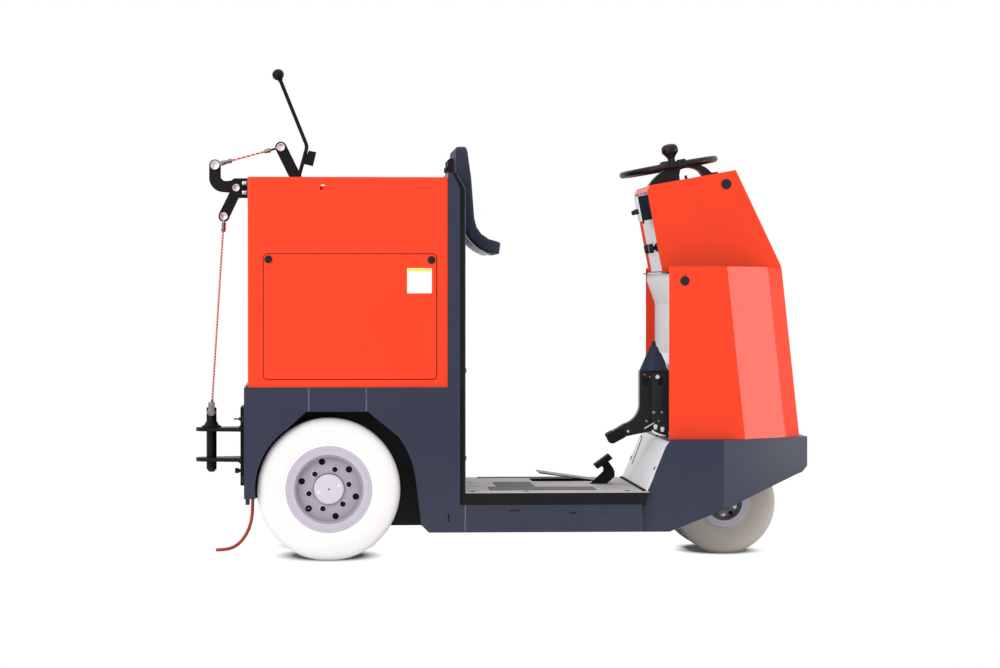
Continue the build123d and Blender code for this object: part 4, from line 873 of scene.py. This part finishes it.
# release gear: bright pin heads, cable with its end fittings, and the bracket's nuts
gear = {
    "heads": (
        ("crankUpperHead", (-869.5, 1180), 13.9, -10.2, "crank"), ("crankPivotHead", (-805, 1111), 11.4, -9.6, "crank"),
        ("crankLowerHead", (-842.5, 1024), 12.1, -10.2, "crank"), ("leverPinHead", (-669, 1235), 12.6, -10.2, "lever"),
    ),
    "cableY": -3.6, "cordRadius": 3.0, "cordPoints": 24,
    "upper": {"from": (-669, 1235), "to": (-869.5, 1180)}, "lower": {"from": (-842.5, 1024), "to": (-881, 426)},
    "cords": (("topCable", "upper", 51, 158, "top_link"), ("dropCable", "lower", 45, 562, "drop_link")),
    "nuts": ((-773.5, -21, 1124), (-773.5, -21, 1097)), "nutSize": (0.0135, 0.012, 1.15),
    "stop": ((-561, -28, 1057.4), (-543.5, -16, 1113)), "stopBolt": (-612, -29.2, 1077), "stopSize": (0.012, 0.005),
    "tag": ((4.2, -6, 976), (8.2, -2, 1006)), "tagAt": 34, "tagTurn": 3.7,
}
fittings = {  # distance along the cable, way it points, and its steps
    "topSleeve": (33, 1, ((7.4, 4.0), (6.8, 5.0), (6.0, 14.0), (5.2, 18.0), (3.6, 20.0))),
    "topShaft": (15.5, 1, ((3.3, 17.0), (3.0, 18.0))),
    "topLug": (190, -1, ((7.6, 4.0), (6.6, 14.0), (5.4, 24.0), (5.0, 26.0))),
    "topCollar": (165, -1, ((7.2, 3.0), (6.6, 9.0), (4.6, 11.0))),
    "dropSleeve": (18, 1, ((5.4, 6.0), (4.8, 20.0), (4.6, 27.0), (3.6, 29.0))),
    "dropCollar": (38, 1, ((6.4, 6.0), (5.4, 8.0))),
}
for name, (x, z), radius, face, body in gear["heads"]:
    steps = (
        (radius, 0.9), (radius - 0.9, 1.7), (radius * 0.64, 1.7), (radius * 0.56, 1.1), (radius * 0.34, 1.1),
        (radius * 0.28, 2.0), (radius * 0.12, 2.3),
    )
    ready(turnedPiece(name, at(x, face, z), (0, -1, 0), steps, 44), "bright_steel", body)


def alongCable(run, distance):
    (x, z), (endX, endZ) = gear[run]["from"], gear[run]["to"]
    span = math.hypot(endX - x, endZ - z)
    return x + (endX - x) * distance / span, gear["cableY"], z + (endZ - z) * distance / span


def fitting(name, run, key, sides=28):
    (x, z), (endX, endZ) = gear[run]["from"], gear[run]["to"]
    distance, way, steps = fittings[key]
    aim = Vector((endX - x, 0, endZ - z)).normalized() * way
    return turnedPiece(name, at(*alongCable(run, distance)), aim, steps, sides)


ready(fitting("topCableSleeve", "upper", "topSleeve"), "dullSteel", "top_link", slot="bright_steel")
ready(fitting("topCableShaft", "upper", "topShaft", 20), "blackSteel", "top_link", slot="black_paint")
lugParts = [fitting("topCableLug", "upper", "topLug"), fitting("topCableCollar", "upper", "topCollar")]
ready(joinAll("topCableLug", lugParts), "dullSteel", "top_link", slot="bright_steel")
sleeveParts = [fitting("dropCableSleeve", "lower", "dropSleeve"), fitting("dropCableCollar", "lower", "dropCollar")]
ready(joinAll("dropCableSleeve", sleeveParts), "dullSteel", "drop_link", slot="bright_steel")
tagX = alongCable("lower", gear["tagAt"])[0]
flag = blockPiece("dropCableTag", *[(tagX + x, y, z) for x, y, z in gear["tag"]], 0.8, gear["tagTurn"])
ready(flag, "strap_red", "drop_link")
for name, run, start, stop, body in gear["cords"]:
    steps = gear["cordPoints"]
    route = [alongCable(run, start + (stop - start) * i / steps) for i in range(steps + 1)]
    ready(rodPiece(name, route, gear["cordRadius"], 3), "sheath", body, slot="strap_red")
nut = boltHead("bracketNut", (0, 0, 0), (-1, 0, 0), *gear["nutSize"])
ready(spread("bracketNuts", nut, [at(*place) for place in gear["nuts"]]), "bright_steel", "chassis")
ready(blockPiece("leverStopPlate", *gear["stop"], 1.2), "black_paint")
stopBolt = boltHead("leverStopBolt", at(*gear["stopBolt"]), (0, -1, 0), *gear["stopSize"])
ready(stopBolt, "blackSteel", slot="black_paint")
print("release gear dressed")

# lean pad: crowned foam with a sewn edge on each side, and its lip curling forward
pad = {
    "halfWidth": 209, "edge": 0.006, "topCorner": 0.022, "lipCorner": 0.03, "voxel": 0.0042,
    "crown": (0.16, 0.0022, 0.45), "piping": 2.2, "seamAt": 196,
    "piped": ((-109.5, 1217), (-98, 1135), (-93, 1070), (-89, 1016), (-82, 988), (-67, 966), (-47, 953)),
    "outline": (
        (-143, 1230), (-111, 1230), (-98, 1135), (-93, 1070), (-89, 1016), (-82, 988), (-67, 966), (-47, 953),
        (-7, 942), (-12, 906), (-34, 909), (-60, 918), (-85, 935), (-105, 957), (-118, 982), (-120.2, 1000),
        (-120.2, 1096), (-143, 1148),
    ),
}
leanPad = outlinePiece("leanPad", [pad["outline"]], 0, pad["halfWidth"] * 2)
pick(leanPad, "faces", lambda face: True)
bpy.ops.mesh.dissolve_limited(angle_limit=0.01)
settle(leanPad)


def roundCorners(test, radius):  # the edges that run through the pad's thickness at its two ends
    def chosen(edge):
        first, second = (leanPad.data.vertices[index].co for index in edge.vertices)
        atEnd = min(abs(first.y), abs(second.y)) > 0.2 and abs(first.y - second.y) < 0.01
        return atEnd and test(first) and test(second)

    pick(leanPad, "edges", chosen)
    bpy.ops.mesh.bevel(offset=radius, segments=8, affect="EDGES")
    settle(leanPad)


roundCorners(lambda point: point.z > 1.2, pad["topCorner"])
roundCorners(lambda point: point.z < 0.945 and point.x > -0.02, pad["lipCorner"])
softenEdges(leanPad, pad["edge"], 4, 40.0)
modify(leanPad, "REMESH", mode="VOXEL", voxel_size=pad["voxel"])
modify(leanPad, "SMOOTH", factor=0.5, iterations=3)
ripple(leanPad, "padCrown", *pad["crown"])
modify(leanPad, "SMOOTH", factor=0.5, iterations=3)
outward(leanPad)
ready(leanPad, "slate_foam", "chassis", ("lean_pad",), 60.0)
seams = [
    rodPiece("padPiping", [(x - 0.8, side * pad["seamAt"], z) for x, z in pad["piped"]], pad["piping"], 3)
    for _, side in sidesOf
]
piping = joinAll("padPiping", seams)
ready(piping, "slate_foam", "chassis", (), 60.0)
print("lean pad made")

# trailing strap: one smooth line from the clamp to the floor
strap = {
    "route": ((-756, 161), (-756, 118), (-764, 76), (-781, 42), (-806, 16), (-838, 5), (-868, 5)), "radius": 0.005,
    "length": 0.222, "clamp": ((-762, -16, 160.5), (-747, 16, 172)),
}
clearSelection()
line = bpy.data.curves.new("groundStrap", "CURVE")
line.dimensions = "3D"
spline = line.splines.new("NURBS")
spline.points.add(len(strap["route"]) - 1)
for point, (x, z) in zip(spline.points, strap["route"]):
    point.co = (*at(x, 0, z), 1)
spline.order_u = 3
spline.use_endpoint_u = True
spline.resolution_u = 12
line.bevel_depth = strap["radius"]
line.bevel_resolution = 4
line.use_fill_caps = True
groundStrap = bpy.data.objects.new("groundStrap", line)
bpy.context.collection.objects.link(groundStrap)
line.materials.append(paints["strap_red"])
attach(groundStrap, "chassis")
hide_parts("ground_strap")
ready(blockPiece("strapClamp", *strap["clamp"]), "black_paint")
print("strap laid")

# cowl and console: plugs, edge fixings, plates, key switch, push buttons, hems and horn
console = {
    "aim": (-0.981, 0, -0.195), "tilt": -11.24,
    "plugs": (("plug", (675, 192, 1119), 15.6), ("cowlPlug", (533, 335, 826), 14.0)),
    "rivetAt": (534, 335, 843.5), "rivet": ((2.2, 0.5), (1.32, 0.9)),
    "keyAt": (417.0, -98, 1038), "key": ((8.2, 3.0), (7.6, 12.0), (7.0, 13.0)),
    "keyGrip": ((397.0, -104, 1027), (410.5, -92, 1041)), "buttons": ((475.4, -112.5, 929.0), (475.4, 12.5, 929.0)),
    "skirt": ((14.6, 2.0), (13.2, 4.0), (6.5, 10.5), (4.6, 14.5)), "headLift": 0.0145,
    "head": ((14.4, 9.0), (13.8, 11.5), (11.8, 13.4), (5.0, 14.0)),
    "hem": ((697, 1153), (706, 1151), (829, 887), (834, 874), (823, 874), (818, 885)), "hemFace": 192.2,
    "hornAt": (563, -118, 1131), "hornAim": (-0.17, 0, 0.985),
    "horn": ((7.0, 4.0), (6.2, 6.0), (4.4, 8.0), (4.2, 12.0), (5.6, 14.0), (5.0, 17.0)),
}
consoleBlocks = (  # name, two corners, edge, turn, paint and the node it stands in for
    ("switchPlate", (416.3, -147, 1006.4), (418.1, -49, 1083.4), 0.6, console["tilt"], "light_paint", ()),
    ("controlBox", (417.8, -148, 1010.8), (451, -48, 1085.8), 2.0, console["tilt"], "boxSlate", ("control_box",)),
    ("switchTab", (424, -106, 1000), (436, -90, 1009.5), 1.0, console["tilt"], "signalRed", ()),
    ("faceHeader", (444, -188, 1098.6), (455, 188, 1110.5), 1.0, console["tilt"], "light_paint", ()),
    ("consoleLip", (797.5, -191.4, 868.6), (841.6, 191.4, 873.6), 0.8, 0.0, "orange_paint", ()),
    ("archFootFront", (617, -102, 1151.5), (662, -44, 1156.5), 1.2, -9.0, "black_plastic", ()),
)
for sideName, side in sidesOf:
    which, out = sideName.title(), (0, side, 0)
    for key, (x, y, z), radius in console["plugs"]:
        steps = ((radius, 0.8), (radius - 0.8, 1.8), (radius - 3.0, 2.5), (radius - 5.0, 2.3), (radius * 0.3, 2.1))
        ready(turnedPiece(f"{key}{which}", at(x, side * y, z), out, steps, 44), "plugGrey")
    x, y, z = console["rivetAt"]
    ready(turnedPiece(f"cowlRivet{which}", at(x, side * y, z), out, console["rivet"], 18), "graphite")
for name, low, high, edge, turn, paint, instead in consoleBlocks:
    ready(blockPiece(name, low, high, edge, turn), paint, "chassis", instead)
keyBarrel = turnedPiece("keySwitch", at(*console["keyAt"]), console["aim"], console["key"], 32)
keyGrip = blockPiece("keyGrip", *console["keyGrip"], 2.0, console["tilt"])
ready(joinAll("keySwitch", [keyBarrel, keyGrip]), "black_plastic")
skirt = turnedPiece("buttonSkirt", (0, 0, 0), console["aim"], console["skirt"], 36)
buttonFoot = Vector(console["aim"]) * console["headLift"]
buttonHead = turnedPiece("buttonHead", buttonFoot, console["aim"], console["head"], 36)
spools = spread("pushButtonSpools", joinAll("spool", [skirt, buttonHead]), [at(*place) for place in console["buttons"]])
ready(spools, "black_plastic", "chassis", ("push_buttons",))
hems = [outlinePiece("consoleHem", [console["hem"]], side * console["hemFace"], 0.9, 0.3, 1) for _, side in sidesOf]
ready(joinAll("consoleHems", hems), "orange_paint")
horn = turnedPiece("hornButton", at(*console["hornAt"]), console["hornAim"], console["horn"], 28)
ready(horn, "black_plastic")

# hand wheel: the knob's domed cap, the clamp under it and the hub cap
handWheel = {
    "centre": (521.0, -143.5, 1177.0), "lean": math.radians(10.2),
    "knobAt": (-4, 40.5), "knob": ((25.4, 9.0), (25.0, 13.5), (23.2, 18.0), (19.0, 22.2), (12.0, 24.8), (4.5, 25.8)),
    "clampAt": (24, 3), "clamp": (0.027, 0.026, 0.023),
    "hubAt": (0, 14.2, 0.0), "hub": ((24.0, 2.0), (22.5, 4.0), (16.0, 5.4), (15.0, 4.6), (6.0, 4.4)),
}
leanSin, leanCos = math.sin(handWheel["lean"]), math.cos(handWheel["lean"])


def onRim(along, lift, y=handWheel["centre"][1]):
    x, _, z = handWheel["centre"]
    return at(x + along * leanCos - lift * leanSin, y, z + along * leanSin + lift * leanCos)


wheelUp = (-leanSin, 0, leanCos)
knobCap = turnedPiece("knobCap", onRim(*handWheel["knobAt"]), wheelUp, handWheel["knob"], 48, 0.4)
ready(knobCap, "black_plastic", "hand_wheel", (), 50.0)
rimClamp = startPiece("cube", "knobClamp", size=1, location=onRim(*handWheel["clampAt"]))
rimClamp.scale = handWheel["clamp"]
rimClamp.rotation_euler = (0, -handWheel["lean"], 0)
softenEdges(rimClamp, 0.003, 3)
ready(rimClamp, "black_plastic", "hand_wheel")
hubCover = turnedPiece("wheelHubCap", onRim(*handWheel["hubAt"]), wheelUp, handWheel["hub"], 40)
ready(hubCover, "black_plastic", "hand_wheel")
print("console dressed")

# pedal unit: plates, bushings on their saddles, bolts, return rod and the guard under it
pedals = {
    "face": -82.3, "cheekFace": -86.1, "cheekFrom": 461,
    "bolts": (
        ((467, 425), 6.2), ((491.5, 425), 5.0), ((445, 398.5), 5.0), ((482, 399), 4.2), ((439, 541), 4.0),
        ((442, 514), 4.4),
    ),
    "bushings": ((472, 383), (493, 375.5)), "bush": ((6.4, 2.0), (5.6, 4.0), (3.0, 4.2)),
    "saddle": ((-4.8, -2.6, -9.5), (4.8, 0, -2)),
    "armBushAt": (478, 534), "armBush": ((6.4, 1.6), (5.2, 3.0), (2.0, 3.4)),
    "rod": ((438, -86, 376), (453, -87, 385), (468, -86, 393)), "rodRadius": 2.4,
    "shoulders": ((476, 20), (433, 17)), "shoulderHeights": (508, 531), "shoulderFace": -86.6,
}
pedalPlates = (  # name, outline, middle, depth, edge, its steps and paint
    ("pedalCheek", ((461, 551), (501, 551), (504, 516), (498, 505), (496, 440), (507, 405), (512, 352), (474, 352),
                    (461, 398)), -84.2, 3.6, 0.8, 2, "plugGrey"),
    ("pedalWeb", ((427, 552), (511, 552), (511, 372), (476, 362), (448, 386), (433, 420), (427, 452)),
     -62, 26, 1.0, 2, "black_plastic"),
    ("pedalGuard", ((460, 366), (467, 361), (480, 355.5), (497, 350.5), (514, 347), (514, 352), (499, 356), (482, 361),
                    (470, 367), (462, 373)), -62, 54, 0.8, 2, "light_paint"),
    ("pedalTread", ((322, 355), (326, 361), (362, 379), (369, 378), (381, 357), (378, 350), (342, 331), (334, 332)),
     -60, 82, 2.2, 3, "black_rubber"),
)
pedalTurned = (  # name, foot, way it points, steps, sides and paint
    ("pedalMark", (455, -82.3, 534), (0, -1, 0), ((3.2, 1.0), (2.2, 1.8)), 20, "signalRed"),
    ("housingFitting", (469, -60, 627.2), (0, 0, 1), ((7.4, 5.0), (6.4, 7.0), (6.4, 12.0), (4.6, 14.0), (4.4, 15.6)),
     24, "black_plastic"),
    ("treadPin", (388, -82, 368), (0, -1, 0), ((4.6, 1.4), (3.8, 2.6), (1.4, 3.0)), 24, "bright_steel"),
)
for name, outline, middle, depth, edge, steps, paint in pedalPlates:
    ready(outlinePiece(name, [outline], middle, depth, edge, steps), paint)
for name, foot, way, steps, sides, paint in pedalTurned:
    ready(turnedPiece(name, at(*foot), way, steps, sides), paint)
bolts = []
for (x, z), radius in pedals["bolts"]:
    foot = at(x, pedals["cheekFace" if x > pedals["cheekFrom"] else "face"], z)
    steps = ((radius, 1.4), (radius - 0.5, 2.6), (radius - 1.4, 3.4), (radius * 0.3, 3.9))
    bolts.append(turnedPiece("pedalBolt", foot, (0, -1, 0), steps, 24))
ready(joinAll("pedalBolts", bolts), "dullSteel", slot="bright_steel")
bush = turnedPiece("pedalBush", (0, 0, 0), (0, -1, 0), pedals["bush"], 28)
bush = joinAll("pedalBush", [bush, blockPiece("bushSaddle", *pedals["saddle"])])
bush = spread("pedalBush", bush, [at(x, pedals["cheekFace"], z) for x, z in pedals["bushings"]])
x, z = pedals["armBushAt"]
armBush = turnedPiece("armBush", at(x, pedals["cheekFace"], z), (0, -1, 0), pedals["armBush"], 28)
ready(joinAll("pedalBushings", [bush, armBush]), "whiteNylon")
ready(rodPiece("returnRod", pedals["rod"], pedals["rodRadius"]), "bright_steel")
low, high = pedals["shoulderHeights"]
shoulders = [
    outlinePiece(
        "armPlate", [((x, high), (x + wide, high), (x + wide - 3, low), (x + 3, low))], pedals["shoulderFace"],
        1.4, 0.4, 2,
    )
    for x, wide in pedals["shoulders"]
]
ready(joinAll("pedalShoulders", shoulders), "graphite")
print("pedal unit dressed")

# deck and toe board: joint strips, edge slots, cable slot and screw heads
deck = {
    "top": 202.0, "joint": 409.0, "dash": ((-4, 0, 0), (4, 26, 5)), "dashes": range(-366, 342, 36),
    "slits": ((-94, -72, 90), (-98, -71, -94), (300, 352, -210)), "slitWide": 3, "slitDeep": 0.6,
    "toeFoot": (413, 202), "toeRise": 0.451, "proud": (-0.3648, 0.1644),
    "toeLine": ((252, 252), (268, 282), (286, 314), (298, 328), (320, 333), (346, 334.5)),
    "toeLineRadius": 1.7, "toeSlotRadius": 2.6, "toeSlotHalf": 5,
    "toeSlots": ((-341, 268), (352, 265)), "screws": [(x, y) for y in (-352, 352) for x in (60, 360, -100)],
    "screw": ((7.2, 0.6), (5.8, 1.8), (3.2, 2.2), (2.6, 1.2)), "wellPan": ((114, 167, 165.6), (282, 328, 168.0)),
    "boardEdge": ((-149, 1140), (-124.6, 1097), (-124.6, 205)), "boardFace": 400.1, "boardRadius": 0.9,
}


def onToe(y, z):  # a point just proud of the sloping toe board
    x, foot = deck["toeFoot"]
    return x + (z - foot) * deck["toeRise"] + deck["proud"][0], y, z + deck["proud"][1]


dash = blockPiece("deckDash", *deck["dash"], 0.8)
ready(spread("deckJoint", dash, [at(deck["joint"], y, deck["top"]) for y in deck["dashes"]]), "black_rubber")
slits = []
for start, stop, y in deck["slits"]:
    long, wide = stop - start, deck["slitWide"]
    slit = outlinePiece("deckSlit", [((0, 0), (long, 0), (long, wide), (0, wide))], 0, deck["slitDeep"], 0.1, 1)
    slit.rotation_euler = (-math.pi / 2, 0, 0)
    slit.location = at(start, y, deck["top"] + 0.2)
    settle(slit)
    slits.append(slit)
ready(joinAll("deckSlits", slits), "black_rubber")
toeLines = [rodPiece("toeSlot", [onToe(y, z) for y, z in deck["toeLine"]], deck["toeLineRadius"], 3)]
for y, z in deck["toeSlots"]:
    ends = [onToe(y, z + half) for half in (-deck["toeSlotHalf"], deck["toeSlotHalf"])]
    toeLines.append(rodPiece("toeSlot", ends, deck["toeSlotRadius"], 3))
ready(joinAll("toeSlots", toeLines), "graphite", slot="black_rubber")
screw = turnedPiece("deckScrew", (0, 0, 0), (0, 0, 1), deck["screw"], 24)
screws = spread("deckScrews", screw, [at(x, y, deck["top"]) for x, y in deck["screws"]])
ready(screws, "blackSteel", slot="black_paint")
ready(blockPiece("pedalWellPan", *deck["wellPan"], 0.6), "black_rubber")
# a lighter slate rod along each side edge of the back board is a painted highlight
boardEdges = [
    rodPiece("boardEdge", [(x, side * deck["boardFace"], z) for x, z in deck["boardEdge"]], deck["boardRadius"], 2)
    for _, side in sidesOf
]
ready(joinAll("boardEdges", boardEdges), "weldSlate", slot="slate_paint")
print("deck dressed")

# bolts on the back board and behind the box
fixings = (  # name, way they point, size across, height and places
    ("boardBolt", (1, 0, 0), 0.014, 0.005, [(-124.2, y, z) for y in (-330, -110, 110, 330) for z in (300, 560)]),
    ("tailBolt", (-1, 0, 0), 0.016, 0.006, [(-775.2, y, z) for y in (-350, 350) for z in (420, 240)]),
)
for name, way, across, height, places in fixings:
    bolts = spread(f"{name}s", boltHead(name, (0, 0, 0), way, across, height), [at(*place) for place in places])
    ready(bolts, "blackSteel", slot="black_paint")
print("fixings placed")

# pale studio: the floor shows white but keeps the dark contact under each tyre, where the floor colour is also painted
# darker as shadow
studio = {
    "floor": 40.0, "floorTone": 0.9, "worldLight": 0.83, "skyTone": (0.98, 0.98, 1.0, 1),
    "boxes": {  # place, target, width, height and power
        "sideBox": ((-4.2, -6.0, 3.2), (0, 0, 0.6), 5.0, 3.0, 150.0),
        "noseBox": ((5.0, -0.15, 0.85), (0.8, -0.2, 0.6), 1.1, 2.6, 46.0),
        "topBox": ((0.4, 0.0, 5.0), (0, 0, 0.5), 5.0, 4.0, 60.0),
    },
    "contacts": (
        (-0.526, -0.16, 0.165, 0.27), (-0.526, 0.24, 0.16, 0.22), (0.672, -0.02, 0.14, 0.20), (0.672, 0.12, 0.12, 0.14),
    ),
    "contactEdge": (0.62, 1.0), "contactTone": (0.30, 0.29, 0.33), "contactDepth": 0.97,
}
lens = {"place": (-0.596, -10.0, 0.790), "down": 0.72, "turn": -3.42, "length": 117.5}


def seenBy(tree, kinds):  # one for rays of these kinds, nothing for the rest
    paths = tree.nodes.new("ShaderNodeLightPath")
    total = 0.0
    for kind in kinds:
        total = Wire(tree, paths.outputs[f"Is {kind} Ray"]) + total
    return total.combine("MINIMUM", total, 1.0)


clearSelection()
bpy.ops.mesh.primitive_plane_add(size=studio["floor"], location=(0, 0, -0.0005))
floor = bpy.context.object
floor.name = "studioFloor"
floorTone = (studio["floorTone"],) * 3
floorFinish = Finish("floorWhite", floorTone, 0.6, specular=0.2)
along, across = floorFinish.axis(0), floorFinish.axis(1)
shadowArea = 0.0
for x, y, reachX, reachY in studio["contacts"]:
    gapX, gapY = (along - x) * (1 / reachX), (across - y) * (1 / reachY)
    near = 1 - floorFinish.ramp((gapX * gapX + gapY * gapY).power(0.5), *studio["contactEdge"])
    shadowArea = near + shadowArea
shadowArea = shadowArea.combine("MINIMUM", shadowArea, 1.0)
keep = 1 - shadowArea * studio["contactDepth"]
# the contact areas are painted a darker floor colour as shadow
floorFinish.put("Base Color", floorFinish.blend(shadowArea, floorTone, studio["contactTone"]))
bright = floorFinish.node("ShaderNodeEmission", inputs={"Color": (1, 1, 1, 1), "Strength": 1.0})
plain = Wire(floorFinish.tree, floorFinish.shader.outputs[0])
seen = seenBy(floorFinish.tree, ("Camera", "Glossy"))
shown = floorFinish.node("ShaderNodeMixShader", inputs={0: seen * keep, 1: plain, 2: bright})
target = next(node for node in floorFinish.tree.nodes if node.type == "OUTPUT_MATERIAL")
floorFinish.tree.links.new(shown.socket, target.inputs[0])
floor.data.materials.append(floorFinish.material)

world = bpy.context.scene.world or bpy.data.worlds.new("studio")
bpy.context.scene.world = world
world.use_nodes = True
sky = world.node_tree
sky.nodes.clear()
output = sky.nodes.new("ShaderNodeOutputWorld")
mixed = sky.nodes.new("ShaderNodeMixShader")
lightSky = sky.nodes.new("ShaderNodeBackground")
lightSky.inputs["Color"].default_value = studio["skyTone"]
lightSky.inputs["Strength"].default_value = studio["worldLight"]
whiteSky = sky.nodes.new("ShaderNodeBackground")
whiteSky.inputs["Color"].default_value = (1, 1, 1, 1)
sky.links.new(seenBy(sky, ("Camera", "Glossy", "Transmission")).socket, mixed.inputs[0])
sky.links.new(lightSky.outputs[0], mixed.inputs[1])
sky.links.new(whiteSky.outputs[0], mixed.inputs[2])
sky.links.new(mixed.outputs[0], output.inputs[0])

for name, (place, aim, width, height, power) in studio["boxes"].items():
    lamp = bpy.data.lights.new(name, "AREA")
    lamp.shape = "RECTANGLE"
    lamp.size, lamp.size_y = width, height
    lamp.energy = power
    holder = bpy.data.objects.new(name, lamp)
    bpy.context.collection.objects.link(holder)
    holder.location = place
    holder.rotation_euler = (Vector(aim) - Vector(place)).to_track_quat("-Z", "Y").to_euler()

camera = bpy.data.objects.new("sceneCamera", bpy.data.cameras.new("sceneCamera"))
bpy.context.collection.objects.link(camera)
camera.location = lens["place"]
camera.rotation_euler = (math.radians(90 - lens["down"]), 0, math.radians(lens["turn"]))
camera.data.lens = lens["length"]
camera.data.sensor_width = 36.0
camera.data.clip_end = 100.0
bpy.context.scene.camera = camera
bpy.context.scene.view_settings.view_transform = "Standard"
print("studio set")
